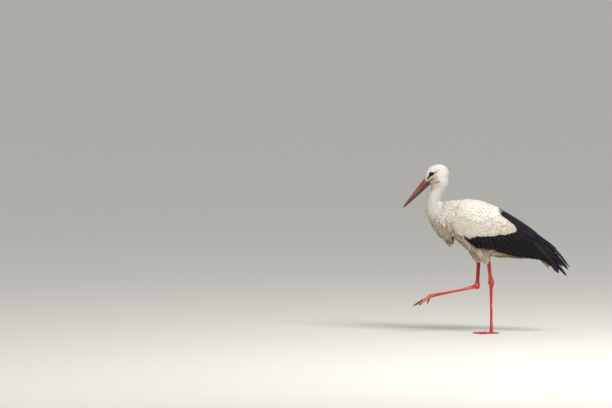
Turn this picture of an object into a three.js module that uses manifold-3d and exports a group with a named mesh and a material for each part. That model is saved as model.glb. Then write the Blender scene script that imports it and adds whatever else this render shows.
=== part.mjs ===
// A white stork (Ciconia ciconia) at life size, as a still model: it stands on its left foot and
// lifts the right one in a slow walking step. Millimetres, +Z up. The bird faces -X and its left
// side is -Y. The origin lies on the floor, under the joint where the left shank meets its toes.
//
// Most pieces are lofts: ellipses swept along a spine and closed at both ends. A piece that meets
// another is cut back by that neighbour, grown by PARTING, so the two never overlap. The folded
// wings lie over the body and the tail, and are parted into feather groups by thin cuts.
import * as THREE from "three";
import { mergeVertices } from "three/addons/utils/BufferGeometryUtils.js";
import Module from "manifold-3d";

const wasm = await Module();
wasm.setup();

// ---------- driving dimensions ----------

const PARTING = 0.3; // clearance between neighbouring pieces
const SPAN = 400; // longer than the bird is wide: how far a cut reaches across it

const BILL_DEPTH = 36; // both mandibles at the base
const BILL_WIDTH = 27;
const TOMIUM_DROP = 4; // the edge between the mandibles lies this far under the bill's middle
const EYE_RADIUS = 7.5;
const SHANK_RADIUS = 5.4; // of the bare leg above and below the hock
const TOE_RADIUS = 4.6;
const CLAW_RADIUS = 3;
const SOLE_CUT = 0.8; // how much of a toe's round underside is worn flat on the floor
const MIDDLE_TOE = 76; // without its claw, as the inner, outer and hind toes below
const INNER_TOE = 54;
const OUTER_TOE = 62;
const HIND_TOE = 25;
const CLAW_LENGTH = 11;

// Places on the bird, as [x, y, z].
const BILL_BASE = [-290, 0, 686];
const BILL_TIP = [-399, 0, 568];
const EYE = [-272, 16, 721]; // the left eye has y negative
const HOCK_STANDING = [-2, -20, 229];
const ANKLE_STANDING = [0, 0, 0]; // where the shank meets the toes
const HOCK_LIFTED = [-63, 36, 212];
const ANKLE_LIFTED = [-279, 27, 167];

// ---------- colours ----------

const finish = (color, roughness) => new THREE.MeshStandardMaterial({ color, roughness, metalness: 0 });
const white = finish(0xe9e3d8, 0.9);
const black = finish(0x1d1b21, 0.55);
const red = finish(0xc8403a, 0.5);
const billRed = finish(0x8f4a48, 0.45);
const horn = finish(0x2b2422, 0.4);
const eyeDark = finish(0x0c0a0a, 0.08);

// ---------- making and cutting solids ----------

function solidFrom(geometry) {
  geometry.deleteAttribute("normal");
  geometry.deleteAttribute("uv");
  const merged = mergeVertices(geometry, 1e-4);
  return new wasm.Manifold(
    new wasm.Mesh({
      numProp: 3,
      vertProperties: merged.attributes.position.array,
      triVerts: new Uint32Array(merged.index.array),
    }),
  );
}

const join = (...solids) => solids.reduce((all, solid) => all.add(solid));

// A smooth curve through stations of three numbers, read at t from 0 to 1.
const through = (stations) =>
  new THREE.CatmullRomCurve3(stations.map((s) => new THREE.Vector3(...s)), false, "catmullrom", 0.5);

// Sweeps ellipses along spine. across and deep are half sizes at the spine's stations: across lies
// along side, deep at right angles to it and to the spine. The ends round off to points, more
// bluntly as blunt rises. square holds the exponents of the ellipse's upper and lower half: 2 is a
// true ellipse and more is boxier. grow swells the whole piece.
function loft(
  { spine, across, deep, side = [0, 1, 0], blunt = 8, square = [2, 2], sides = 16, rings = 12 },
  grow = 0,
) {
  const path = through(spine);
  const sizes = through(across.map((a, i) => [a, deep[i], 0]));
  const geometry = new THREE.SphereGeometry(1, sides, rings);
  const position = geometry.getAttribute("position");
  const hint = new THREE.Vector3(...side);
  for (let i = 0; i < position.count; i++) {
    const y = THREE.MathUtils.clamp(position.getY(i), -1, 1);
    const t = (1 - y) / 2;
    const tangent = path.getTangent(THREE.MathUtils.clamp(t, 0.001, 0.999));
    const sideways = hint.clone().addScaledVector(tangent, -hint.dot(tangent)).normalize();
    const upright = tangent.clone().cross(sideways);
    const equator = Math.sqrt(Math.max(1 - y * y, 0)) || 1;
    const [cos, sin] = [position.getX(i) / equator, position.getZ(i) / equator];
    const power = square[sin > 0 ? 0 : 1];
    const corner = (Math.abs(cos) ** power + Math.abs(sin) ** power || 1) ** (-1 / power);
    const close = Math.sqrt(Math.max(1 - Math.abs(y) ** blunt, 0)) * corner;
    const size = sizes.getPoint(t);
    const point = path.getPoint(t).addScaledVector(tangent, -y * grow);
    point.addScaledVector(sideways, cos * close * (size.x + grow));
    point.addScaledVector(upright, sin * close * (size.y + grow));
    position.setXYZ(i, point.x, point.y, point.z);
  }
  return solidFrom(geometry);
}

// The piece, cut back by its neighbours. A neighbour is a loft's numbers, or a finished solid.
const clearOf = (solid, ...neighbours) =>
  neighbours.reduce((rest, n) => rest.subtract(n.spine ? loft(n, PARTING) : n), solid);

// An outline in the XZ plane, drawn right across the bird.
function slab(points) {
  const shape = new THREE.Shape(points.map(([x, z]) => new THREE.Vector2(x, z)));
  const geometry = new THREE.ExtrudeGeometry(shape, { depth: SPAN, bevelEnabled: false });
  geometry.rotateX(Math.PI / 2).translate(0, SPAN / 2, 0);
  return solidFrom(geometry);
}

// A smooth line in the XZ plane through a few points, as steps short pieces.
const smooth = (points, steps = 9) =>
  new THREE.SplineCurve(points.map(([x, z]) => new THREE.Vector2(x, z)))
    .getPoints(steps)
    .map((p) => [p.x, p.y]);

// A cut as thin as PARTING along a line in the XZ plane, right across the bird.
function thinCut(line) {
  const shifted = (sign) =>
    line.map(([x, z], i) => {
      const [x0, z0] = line[Math.max(i - 1, 0)];
      const [x1, z1] = line[Math.min(i + 1, line.length - 1)];
      const length = Math.hypot(x1 - x0, z1 - z0);
      const shift = (sign * PARTING) / 2 / length;
      return [x - (z1 - z0) * shift, z + (x1 - x0) * shift];
    });
  return slab([...shifted(1), ...shifted(-1).reverse()]);
}

// Of the bodies that a cut solid falls into, the one whose box centre is nearest to [x, z].
function nearest(solid, [x, z]) {
  const far = (body) => {
    const { min, max } = body.boundingBox();
    return Math.hypot((min[0] + max[0]) / 2 - x, (min[2] + max[2]) / 2 - z);
  };
  const bodies = solid.decompose().filter((body) => body.volume() > 100);
  return bodies.sort((a, b) => far(a) - far(b))[0];
}

const largest = (solid) => solid.decompose().sort((a, b) => b.volume() - a.volume())[0];

const mirrorY = ([x, y, z]) => [x, -y, z];
const toward = (a, b, t) => a.map((v, i) => v + (b[i] - v) * t);

// ---------- the group ----------

const stork = new THREE.Group();
stork.name = "white_stork";

function addPiece(name, solid, material) {
  const { numProp, vertProperties, triVerts } = solid.getMesh();
  const corners = new Float32Array((vertProperties.length / numProp) * 3);
  for (let i = 0; i < corners.length / 3; i++)
    corners.set(vertProperties.subarray(i * numProp, i * numProp + 3), i * 3);
  const geometry = new THREE.BufferGeometry();
  geometry.setAttribute("position", new THREE.BufferAttribute(corners, 3));
  geometry.setIndex(new THREE.BufferAttribute(triVerts, 1));
  geometry.computeVertexNormals();
  const mesh = new THREE.Mesh(geometry, material);
  mesh.name = name;
  stork.add(mesh);
}

// ---------- trunk, neck and head ----------

const trunk = {
  spine: [
    [-296, 0, 540],
    [-255, 0, 524],
    [-200, 0, 507],
    [-140, 0, 500],
    [-75, 0, 478],
    [-15, 0, 455],
    [45, 0, 437],
    [105, 0, 412],
    [165, 0, 385],
    [215, 0, 354],
  ],
  across: [52, 60, 76, 86, 88, 82, 70, 52, 36, 26],
  deep: [62, 75, 93, 97, 106, 110, 94, 72, 47, 24],
  blunt: 6,
  sides: 20,
  rings: 15,
};

const breastTuft = {
  spine: [
    [-225, 0, 470],
    [-200, 0, 425],
    [-178, 0, 394],
  ],
  across: [34, 24, 5],
  deep: [30, 18, 5],
  sides: 14,
  rings: 10,
};

const neck = {
  spine: [
    [-232, 0, 478],
    [-257, 0, 548],
    [-261, 0, 603],
    [-247, 0, 640],
    [-235, 0, 676],
    [-226, 0, 722],
  ],
  across: [50, 42, 31, 26, 28, 25],
  deep: [58, 44, 33, 29, 38, 37],
  blunt: 16,
  sides: 16,
  rings: 14,
};

const head = {
  spine: [
    [-197, 0, 744],
    [-215, 0, 733],
    [-238, 0, 719],
    [-262, 0, 703],
    [-285, 0, 692],
    [-299, 0, 682],
  ],
  across: [19, 26, 30, 27, 19, 14],
  deep: [23, 38, 47, 39, 23, 15],
  blunt: 9,
  sides: 16,
  rings: 11,
};

const eyeball = (centre) => ({
  spine: [
    [centre[0], centre[1] - EYE_RADIUS, centre[2]],
    [centre[0], centre[1], centre[2]],
    [centre[0], centre[1] + EYE_RADIUS, centre[2]],
  ],
  across: Array(3).fill(EYE_RADIUS),
  deep: Array(3).fill(EYE_RADIUS),
  side: [1, 0, 0],
  blunt: 2,
  sides: 10,
  rings: 7,
});
const leftEye = eyeball(mirrorY(EYE));
const rightEye = eyeball(EYE);
addPiece("eye_left", loft(leftEye), eyeDark);
addPiece("eye_right", loft(rightEye), eyeDark);

// The neck is parted from the body at its root, where it leaves the shoulders, and half way up.
const neckRootCut = thinCut([[-340, 535], [-262, 575], [-190, 618]]);
const neckHalfCut = thinCut([[-330, 632], [-180, 626]]);
const headCut = thinCut([[-300, 652], [-262, 672], [-225, 680], [-170, 680]]);
const flesh = join(loft(trunk), loft(breastTuft), loft(neck), loft(head));
const parted = clearOf(flesh, neckRootCut, neckHalfCut, headCut);
const trunkSolid = nearest(parted, [-60, 480]);
addPiece("trunk", trunkSolid, white);
addPiece("neck_lower", nearest(parted, [-262, 595]), white);
addPiece("neck_upper", nearest(parted, [-244, 654]), white);
addPiece("head", clearOf(nearest(parted, [-240, 720]), leftEye, rightEye), white);

// ---------- bill ----------

// Both mandibles are one long cone, parted along the tomium, the cutting edge.
const billMiddle = toward(BILL_BASE, BILL_TIP, 0.5);
const bill = {
  spine: [toward(BILL_BASE, BILL_TIP, -0.14), BILL_BASE, billMiddle, toward(BILL_BASE, BILL_TIP, 0.9), BILL_TIP],
  across: [BILL_WIDTH / 2, BILL_WIDTH / 2, BILL_WIDTH / 3.2, 2.6, 1.2],
  deep: [BILL_DEPTH / 2, BILL_DEPTH / 2, BILL_DEPTH / 3.3, 4.2, 1.6],
  blunt: 14,
  sides: 12,
  rings: 10,
};
const tomium = [
  [BILL_BASE[0] + 30, BILL_BASE[2] + 24 - TOMIUM_DROP],
  [BILL_BASE[0] + 0, BILL_BASE[2] - TOMIUM_DROP],
  [billMiddle[0], billMiddle[2] - TOMIUM_DROP / 2],
  [BILL_TIP[0] - 10, BILL_TIP[2] - 10],
];
const mandibles = clearOf(loft(bill), head, thinCut(tomium));
addPiece("bill_upper", nearest(mandibles, [billMiddle[0] - 5, billMiddle[2] + 8]), billRed);
addPiece("bill_lower", nearest(mandibles, [billMiddle[0] + 5, billMiddle[2] - 8]), billRed);

// ---------- tail ----------

const tail = {
  spine: [
    [150, 0, 388],
    [205, 0, 352],
    [262, 0, 297],
  ],
  across: [26, 34, 34],
  deep: [14, 9, 4],
  blunt: 10,
  sides: 12,
  rings: 9,
};
addPiece("tail", largest(clearOf(loft(tail), trunk)), white);

// ---------- folded wings ----------

// The outside of both folded wings, which lie over the body and the tail and meet along the back.
const wingOuter = {
  spine: [
    [-222, 0, 536],
    [-165, 0, 508],
    [-97, 0, 492],
    [-30, 0, 472],
    [38, 0, 443],
    [117, 0, 410],
    [193, 0, 370],
    [262, 0, 326],
    [312, 0, 292],
    [352, 0, 262],
  ],
  across: [64, 94, 102, 101, 95, 82, 62, 43, 28, 16],
  deep: [74, 100, 117, 114, 108, 92, 75, 69, 45, 30],
  blunt: 9,
  square: [2.1, 2.7],
  sides: 24,
  rings: 22,
};
// The wing seen from the side, clockwise from its front: the bend, the lower edge of the
// secondaries, then the tips of the long feathers.
const wingOutline = [
  ...smooth([[-168, 612], [-192, 560], [-187, 510], [-168, 462], [-138, 440]], 7),
  ...smooth([[-95, 407], [-62, 386], [-10, 380], [70, 358], [125, 344], [190, 336], [236, 327]], 9),
  ...smooth([[262, 303], [288, 281], [308, 275], [322, 283]], 4),
  ...smooth([[333, 268], [342, 262], [340, 278], [330, 296]], 4),
  ...smooth([[344, 286], [349, 293], [340, 330], [290, 420]], 4),
  [180, 640],
  [-100, 640],
];
const wingSolid = loft(wingOuter).intersect(slab(wingOutline));
const wings = clearOf(wingSolid, trunk, breastTuft, neck, tail);

// Where the feather groups part, as seen from the side.
const scapularLine = smooth([[-230, 560], [-150, 548], [-92, 530], [-46, 539], [-8, 531], [34, 534]]);
const tertialLine = smooth([[34, 534], [68, 516], [122, 468], [172, 432], [216, 418], [300, 400]]);
const whiteBlackLine = smooth([[-150, 430], [-100, 427], [-70, 445], [0, 445], [70, 453], [126, 472]]);
const backBandLine = smooth([[20, 600], [30, 556], [34, 534]], 4);
const primaryLine = smooth([[117, 476], [160, 415], [205, 365], [245, 290]]);
const cuts = [scapularLine, tertialLine, whiteBlackLine, backBandLine, primaryLine].map(thinCut);

const groups = {
  scapulars: [[-60, 575], white],
  coverts: [[-30, 490], white],
  tertials: [[125, 500], black],
  secondaries: [[50, 400], black],
  primaries: [[250, 360], black],
};
for (const [side, facing] of [["left", -1], ["right", 1]]) {
  const half = clearOf(wings.trimByPlane([0, facing, 0], PARTING / 2), ...cuts);
  for (const [group, [place, material]] of Object.entries(groups))
    addPiece(`wing_${side}_${group}`, nearest(half, place), material);
}

// ---------- legs ----------

const wingRoom = loft(wingOuter, PARTING).intersect(slab(wingOutline));

// Each leg's joints, its feathered thigh, the way its foot faces, how far its toes droop below the
// level, and how far they spread. outward is the side of the body that its outer toe points to.
const legs = {
  left: {
    hock: HOCK_STANDING,
    ankle: ANKLE_STANDING,
    knee: [-15, -30, 322],
    thigh: [[-52, -36, 440], [-46, -39, 395], [-32, -37, 352], [-17, -31.5, 312]],
    outward: -1,
    droop: 0,
    spread: 1,
    hindDroop: 0,
  },
  right: {
    hock: HOCK_LIFTED,
    ankle: ANKLE_LIFTED,
    knee: [-57, 38.5, 322],
    thigh: [[-72, 34, 440], [-69, 39, 395], [-62, 40, 352], [-57, 38, 310]],
    outward: 1,
    droop: 31,
    spread: 0.45,
    hindDroop: 104,
  },
};

// Each toe: its number as anatomists count them, its length, its angle outward from straight ahead
// in a spread foot, and how much further than the foot it droops when lifted.
const toes = [
  { digit: 1, length: HIND_TOE, turn: 172, extraDroop: 0 },
  { digit: 2, length: INNER_TOE, turn: -32, extraDroop: 9 },
  { digit: 3, length: MIDDLE_TOE, turn: 0, extraDroop: 0 },
  { digit: 4, length: OUTER_TOE, turn: 34, extraDroop: 3 },
];

for (const [side, leg] of Object.entries(legs)) {
  const { hock, ankle, knee, outward, spread } = leg;
  const standing = leg.droop === 0;
  const onFloor = (solid) => (standing ? solid.trimByPlane([0, 0, 1], 0) : solid);

  const thigh = { spine: leg.thigh, across: [30, 31, 22, 9], deep: [52, 46, 30, 10], blunt: 7 };
  addPiece(`thigh_${side}`, largest(clearOf(loft(thigh), trunk, wingRoom)), white);

  const shin = {
    spine: [knee, toward(knee, hock, 0.45), toward(knee, hock, 0.8), hock, toward(knee, hock, 1.1)],
    across: [5.8, 5.2, 6.2, 8.2, 6],
    deep: [7, 6.4, 8, 11, 8],
    blunt: 10,
    sides: 8,
    rings: 10,
  };
  addPiece(`shin_${side}`, largest(clearOf(loft(shin), thigh)), red);

  const shank = {
    spine: [hock, ...[0.12, 0.5, 0.9, 0.97, 1.02].map((t) => toward(hock, ankle, t))],
    across: [8, 5.6, 4.6, 5.6, 8.4, 8.4],
    deep: [9, 7.2, SHANK_RADIUS, 6.6, 9, 8.4],
    blunt: 18,
    sides: 8,
    rings: 11,
  };
  addPiece(`shank_${side}`, onFloor(largest(clearOf(loft(shank), shin))), red);

  const grown = [loft(shank, PARTING)];
  for (const { digit, length, turn, extraDroop } of toes) {
    const hind = digit === 1;
    const angle = THREE.MathUtils.degToRad(turn * outward * (hind ? 1 : spread));
    const down = THREE.MathUtils.degToRad(hind ? leg.hindDroop : leg.droop && leg.droop + extraDroop);
    const ahead = new THREE.Vector3(-Math.cos(angle), Math.sin(angle), 0).multiplyScalar(Math.cos(down));
    const direction = ahead.setZ(-Math.sin(down));
    const root = [ankle[0], ankle[1], standing ? TOE_RADIUS - SOLE_CUT : ankle[2]];
    const at = (distance, lift = 0) => root.map((v, i) => v + direction.getComponent(i) * distance + (i === 2 && lift));
    const sideways = [Math.sin(angle), Math.cos(angle), 0];
    const toe = {
      spine: [at(0), at(length * 0.35), at(length * 0.7), at(length)],
      across: [TOE_RADIUS + 0.6, TOE_RADIUS, TOE_RADIUS - 0.5, TOE_RADIUS - 1.2],
      deep: [TOE_RADIUS, TOE_RADIUS, TOE_RADIUS - 0.3, TOE_RADIUS - 0.8],
      side: sideways,
      blunt: 12,
      sides: 8,
      rings: 6,
    };
    const claw = {
      spine: [at(length - 4), at(length + CLAW_LENGTH * 0.4, 0.4), at(length + CLAW_LENGTH, -1.6)],
      across: [CLAW_RADIUS, CLAW_RADIUS - 0.5, 0.8],
      deep: [CLAW_RADIUS, CLAW_RADIUS - 0.5, 0.8],
      side: sideways,
      sides: 6,
      rings: 5,
    };
    addPiece(`toe_${side}_${digit}`, largest(onFloor(clearOf(loft(toe), ...grown))), red);
    addPiece(`claw_${side}_${digit}`, largest(onFloor(clearOf(loft(claw), toe))), horn);
    grown.push(loft(toe, PARTING));
  }
}

export default stork;
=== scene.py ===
# %% [markdown]
# # A white stork, built from the skin outwards
# A bird's outline is made by its feathers, and they are laid over a much slimmer body. This lesson
# builds it in that order: a skin that lies under the outline by the depth of the plumage, then
# small body feathers as tufts and vanes, then the long flight feathers one by one, and the hard
# parts (bill, eyes, claws) as pieces of their own.
#
# The imported solids give every outline. They are loaded first.

# %% Load the frame
import math
from functools import partial

import bmesh
import bpy
import numpy as np
from mathutils import Matrix, Vector
from mathutils.bvhtree import BVHTree


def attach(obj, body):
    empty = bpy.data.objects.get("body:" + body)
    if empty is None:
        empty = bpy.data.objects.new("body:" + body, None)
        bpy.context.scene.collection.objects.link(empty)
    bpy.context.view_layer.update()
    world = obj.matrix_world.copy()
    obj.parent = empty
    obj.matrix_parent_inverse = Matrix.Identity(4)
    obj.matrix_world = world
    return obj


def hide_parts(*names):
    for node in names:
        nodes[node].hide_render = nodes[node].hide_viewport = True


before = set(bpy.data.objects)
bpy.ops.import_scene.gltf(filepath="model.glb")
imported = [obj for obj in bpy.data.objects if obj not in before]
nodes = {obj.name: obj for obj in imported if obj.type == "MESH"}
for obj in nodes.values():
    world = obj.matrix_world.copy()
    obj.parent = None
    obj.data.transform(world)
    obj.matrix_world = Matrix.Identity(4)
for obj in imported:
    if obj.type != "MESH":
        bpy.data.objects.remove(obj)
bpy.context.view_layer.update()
MM = 0.001

# %% [markdown]
# ## Colours and shader nodes
# A colour is chosen as an sRGB hex value, as a paint chart gives it. Cycles calculates in linear
# light, so one function turns it. One more adds any shader node with its settings and links, so
# that a whole material reads as a short list, from its patterns to its layers of colour.

# %% Colour and node helpers
def linear(chip):
    """#rrggbb to the linear RGBA that a shader socket takes."""
    parts = [int(chip[i:i + 2], 16) / 255 for i in (1, 3, 5)]
    return (*[c / 12.92 if c <= 0.04045 else ((c + 0.055) / 1.055) ** 2.4 for c in parts], 1.0)


def add_node(tree, kind, *values, out=0, **settings):
    """Adds a shader node and gives back one of its outputs. The values go to its first sockets. A
    setting is a property, or else a socket by its name with _ for a space. A value can be a
    constant, a colour as #rrggbb, or another node's output, which is linked."""
    node = tree.nodes.new("ShaderNode" + kind)
    sockets = dict(zip(node.inputs, values))
    for name, value in settings.items():
        if hasattr(node, name):
            setattr(node, name, value)
        else:
            names = (name, name.replace("_", " "))
            sockets[next(s for s in node.inputs if s.identifier in names or s.name in names)] = value
    for socket, value in sockets.items():
        if isinstance(value, bpy.types.NodeSocket):
            tree.links.new(value, socket)
        else:
            socket.default_value = linear(value) if isinstance(value, str) else value
    return node.outputs[out] if node.outputs else None


def layered(add, colour, *layers):
    """A colour with others laid over it: each layer is how much of it shows, and its colour."""
    for share, over in layers:
        colour = add("Mix", share, data_type="RGBA", A_Color=colour, B_Color=over, out=2)
    return colour


def new_finish(name):
    """An empty material, and the function that adds a node to it."""
    material = bpy.data.materials.new(name)
    material.use_nodes = True
    material.node_tree.nodes.clear()
    return material, partial(add_node, material.node_tree)


def close_finish(add, colour, bump=None, **sockets):
    """Gives a material its shader. bump is a height, a strength and a distance in metres."""
    if bump:
        height, strength, distance = bump
        sockets["Normal"] = add("Bump", Strength=strength, Distance=distance, Height=height)
    add("OutputMaterial", add("BsdfPrincipled", colour, **sockets))


# %% [markdown]
# ## Camera, floor and light
# A stork is watched from far away with a long lens, which flattens the view: the camera stands
# 25 m off, a little above the bird's back, and looks slightly down. The bird is not in the middle
# of the frame, so the camera aims at a point in front of it instead of using lens shift. The floor
# and the world are both pale. One large soft lamp stands high in front, as a bright hazy sky, and
# a weak one fills the shadows from the bird's front.

# %% Camera
def placed(name, data):
    """A new object in the scene from a camera, a lamp or a mesh."""
    thing = bpy.data.objects.new(name, data)
    bpy.context.scene.collection.objects.link(thing)
    return thing


CAMERA_AWAY = 25.0
CAMERA_TILT = math.radians(3)
AIM = Vector((-0.835, 0.0, 0.585))
lens = bpy.data.cameras.new("long_lens")
lens.lens = 327
lens.sensor_width = 36
lens.clip_end = 500
camera = placed("camera", lens)
camera.location = AIM + CAMERA_AWAY * Vector((0, -math.cos(CAMERA_TILT), math.sin(CAMERA_TILT)))
camera.rotation_euler = (math.pi / 2 - CAMERA_TILT, 0, 0)
bpy.context.scene.camera = camera
print("camera at", [round(v, 2) for v in camera.location])

# %% Floor and light
FLOOR_REACH = 200.0
floor_mesh = bpy.data.meshes.new("floor")
shape = bmesh.new()
bmesh.ops.create_grid(shape, x_segments=1, y_segments=1, size=FLOOR_REACH)
shape.to_mesh(floor_mesh)
shape.free()
floor = placed("floor", floor_mesh)
# Matt paint: nothing on the floor but the bird's soft shadow.
floor_paint, add = new_finish("matt_floor_paint")
close_finish(add, "#d9d6cf", Roughness=0.9)
floor_mesh.materials.append(floor_paint)


def lamp(name, place, aim, size, watts, tint):
    """A square soft lamp that faces its aim."""
    light = bpy.data.lights.new(name, "AREA")
    light.size = size
    light.energy = watts
    light.color = linear(tint)[:3]
    stand = placed(name, light)
    stand.location = place
    stand.rotation_euler = (Vector(aim) - Vector(place)).to_track_quat("-Z", "Y").to_euler()


lamp("sky_light", (1.6, -2.9, 3.7), (-0.05, 0, 0.45), 1.8, 222, "#fffcf9")
lamp("front_fill", (-2.6, -3.6, 1.8), (-0.1, 0, 0.45), 2.4, 14, "#f4f6ff")
world = bpy.data.worlds.new("pale_studio")
bpy.context.scene.world = world
world.use_nodes = True
world.node_tree.nodes["Background"].inputs["Color"].default_value = linear("#eceded")
world.node_tree.nodes["Background"].inputs["Strength"].default_value = 0.69
bpy.context.scene.view_settings.view_transform = "Standard"

# %% [markdown]
# ## What the plumage is like, place by place
# A feather's length, width and direction change smoothly over a bird. Instead of painting maps, a
# short table of landmarks says what a feather is like at known places, and anywhere else is a
# blend of the nearest ones. The left and right sides are alike, so the table gives only one.
# Each row: the place (mm), which way a feather points seen from the side (x, z), its length, its
# half width, the depth of the plumage, the gap to the next feather, and how soiled or buff it is,
# which on the underside and the wing coverts is partly painted shade.

# %% Landmarks
LANDMARKS = {
    "forehead": ((-290, 0, 735), (0.45, 0.9), 7, 1.2, 1.6, 1.7, 0.06),
    "brow": ((-272, 22, 735), (0.9, 0.3), 7, 1.2, 1.4, 1.7, 0.06),
    "crown": ((-235, 0, 766), (1, 0), 11, 1.5, 2.4, 2.0, 0.00),
    "crown_side": ((-240, 24, 745), (1, -0.1), 11, 1.5, 2.2, 2.0, 0.00),
    "nape": ((-193, 0, 725), (0, -1), 15, 1.9, 3.0, 2.4, 0.00),
    "low_nape": ((-200, 0, 681), (-0.25, -1), 18, 2.2, 3.6, 2.7, 0.00),
    "cheek": ((-262, 25, 705), (0.9, -0.3), 8, 1.2, 1.5, 1.8, 0.55),
    "gape": ((-280, 16, 690), (0.9, -0.3), 6, 1.1, 1.0, 1.6, 0.55),
    "ear": ((-240, 28, 715), (0.95, -0.3), 11, 1.5, 2.0, 2.0, 0.08),
    "throat": ((-268, 0, 672), (0.5, -0.85), 10, 1.5, 2.0, 2.1, 0.42),
    "neck_front_top": ((-275, 0, 640), (-0.1, -1), 19, 2.3, 3.6, 2.7, 0.10),
    "neck_side_top": ((-245, 27, 640), (0, -1), 19, 2.3, 3.6, 2.7, 0.00),
    "neck_front": ((-297, 0, 580), (-0.15, -1), 30, 2.9, 4.8, 3.2, 0.22),
    "neck_side": ((-258, 36, 590), (0, -1), 26, 2.9, 4.8, 3.2, 0.04),
    "neck_back": ((-232, 0, 600), (0.1, -1), 20, 2.8, 4.5, 3.1, 0.00),
    "collar_front": ((-292, 0, 520), (0.25, -1), 44, 3.6, 7, 4.0, 0.50),
    "collar_side": ((-250, 60, 520), (0.3, -0.95), 38, 3.8, 7, 4.2, 0.50),
    "breast": ((-258, 0, 470), (0.55, -0.85), 54, 4.0, 9, 4.4, 0.74),
    "breast_side": ((-215, 60, 470), (0.45, -0.9), 46, 4.4, 9, 4.6, 0.64),
    "low_breast": ((-225, 0, 430), (0.5, -0.85), 60, 4.0, 8, 4.4, 0.80),
    "tuft": ((-190, 0, 400), (0.45, -0.9), 50, 3.0, 5, 4.0, 0.88),
    "tuft_root": ((-182, 0, 440), (0.5, -0.85), 50, 3.4, 6, 4.2, 1.02),
    "belly_front": ((-140, 0, 420), (0.66, -0.75), 36, 5.2, 9, 4.8, 0.80),
    "flank": ((-100, 60, 400), (0.62, -0.78), 36, 5.6, 9, 5.0, 0.72),
    "neck_root": ((-205, 0, 600), (1, -0.1), 26, 4.2, 6, 4.0, 0.05),
    "shoulder": ((-220, 60, 560), (0.6, -0.8), 30, 4.6, 7, 4.2, 0.18),
    "side_breast": ((-230, 70, 510), (0.35, -0.93), 36, 4.6, 8, 4.4, 0.56),
    "mantle": ((-170, 0, 600), (1, 0), 34, 6.5, 7, 5.0, 0.06),
    "back": ((-60, 0, 590), (1, -0.15), 44, 9, 6.5, 6.0, 0.04),
    "rump": ((60, 0, 545), (0.9, -0.4), 46, 10, 6.5, 6.4, 0.04),
    "belly": ((-40, 0, 345), (1, -0.05), 34, 6, 9, 5.2, 0.86),
    "vent": ((60, 0, 345), (1, -0.05), 46, 6.5, 8, 5.6, 1.00),
    "undertail": ((150, 0, 345), (0.9, -0.2), 64, 7, 6, 5.8, 1.10),
    "thigh_front": ((-100, 30, 380), (0.4, -0.9), 28, 4.6, 7, 4.4, 0.76),
    "thigh": ((-50, 60, 360), (0.25, -0.97), 28, 4.6, 7, 4.4, 0.70),
    "sock": ((-18, 30, 318), (0.1, -1), 20, 2.8, 3, 3.0, 0.66),
    "far_sock": ((-58, 38, 318), (0.05, -1), 20, 2.8, 3, 3.0, 0.66),
    "breast_rear": ((-206, 78, 510), (0.4, -0.9), 36, 4.6, 8, 4.4, 0.74),
    "wing_bend": ((-175, 85, 520), (0.75, -0.65), 20, 5.0, 5, 4.2, 0.20),
    "lesser_coverts": ((-120, 100, 500), (0.8, -0.6), 28, 6.8, 5, 5.0, 0.26),
    "median_coverts": ((-60, 100, 480), (0.78, -0.62), 38, 8.4, 6, 5.8, 0.24),
    "front_fringe": ((-110, 95, 440), (0.55, -0.83), 28, 6, 5, 4.6, 0.30),
    "rear_coverts": ((40, 90, 480), (0.8, -0.6), 44, 9, 6, 6.2, 0.34),
    "scapulars": ((-60, 70, 560), (0.93, -0.36), 46, 9, 6, 6.0, 0.06),
    "rear_scapulars": ((20, 50, 550), (0.88, -0.45), 54, 10, 6, 6.4, 0.05),
}
spots = np.array([row[0] for row in LANDMARKS.values()], float)
traits = np.array([[*row[1], *row[2:]] for row in LANDMARKS.values()], float)
LIE_X, LIE_Z, LENGTH, WIDTH, DEPTH, GAP, SOIL_AND_SHADE = range(7)
BLEND_REACH = 30
AT_ONCE = 20000


def plumage_at(points):
    """What a feather is like at each point (mm): one row of traits for each."""
    mirrored = np.stack([points[:, 0], np.abs(points[:, 1]), points[:, 2]], 1)
    rows = []
    for some in np.array_split(mirrored, max(len(points) // AT_ONCE, 1)):
        nearness = (((some[:, None] - spots[None]) ** 2).sum(2) + BLEND_REACH) ** -2
        rows.append(nearness / nearness.sum(1, keepdims=True) @ traits)
    return np.concatenate(rows)


print(len(LANDMARKS), "landmarks")

# %% [markdown]
# ## The outline as one smooth hull
# Feather tips must end on the outline that the solids give. Those solids are many and faceted, so
# copies of them are joined, remeshed as voxels, which melts the parting lines away, and relaxed.
# The hull is never shown. It answers one question for every feather: where is the surface, and
# which way does it face?

# %% Helpers for numbers and objects
def ramp(values, start, end):
    """0 at the start, 1 at the end, and a straight rise between them."""
    return np.clip((values - start) / (end - start), 0, 1)


def unit(vectors):
    """Vectors, given in the last axis, made one long."""
    return vectors / np.maximum(np.linalg.norm(vectors, axis=-1, keepdims=True), 1e-6)


def new_object(name, shape):
    """An object from a bmesh, which is used up."""
    mesh = bpy.data.meshes.new(name)
    shape.to_mesh(mesh)
    shape.free()
    return placed(name, mesh)


def solids(names):
    """A bmesh with copies of these CAD nodes, each welded shut."""
    shape = bmesh.new()
    for name in names:
        shape.from_mesh(nodes[name].data)
    bmesh.ops.remove_doubles(shape, verts=shape.verts, dist=1e-6)
    return shape


def with_modifier(thing, kind, **settings):
    """The mesh that one modifier makes of an object, whose place it takes."""
    step = thing.modifiers.new(kind, kind)
    for key, value in settings.items():
        setattr(step, key, value)
    bpy.context.view_layer.update()
    graph = bpy.context.evaluated_depsgraph_get()
    made = bpy.data.meshes.new_from_object(thing.evaluated_get(graph))
    thing.modifiers.clear()
    thing.data = made
    return thing


# %% Helpers for meshes
def melted(name, shape, voxel):
    """One closed mesh round these shapes, remeshed so that their parting lines melt away."""
    return with_modifier(new_object(name, shape), "REMESH", mode="VOXEL", voxel_size=voxel * MM)


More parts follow.
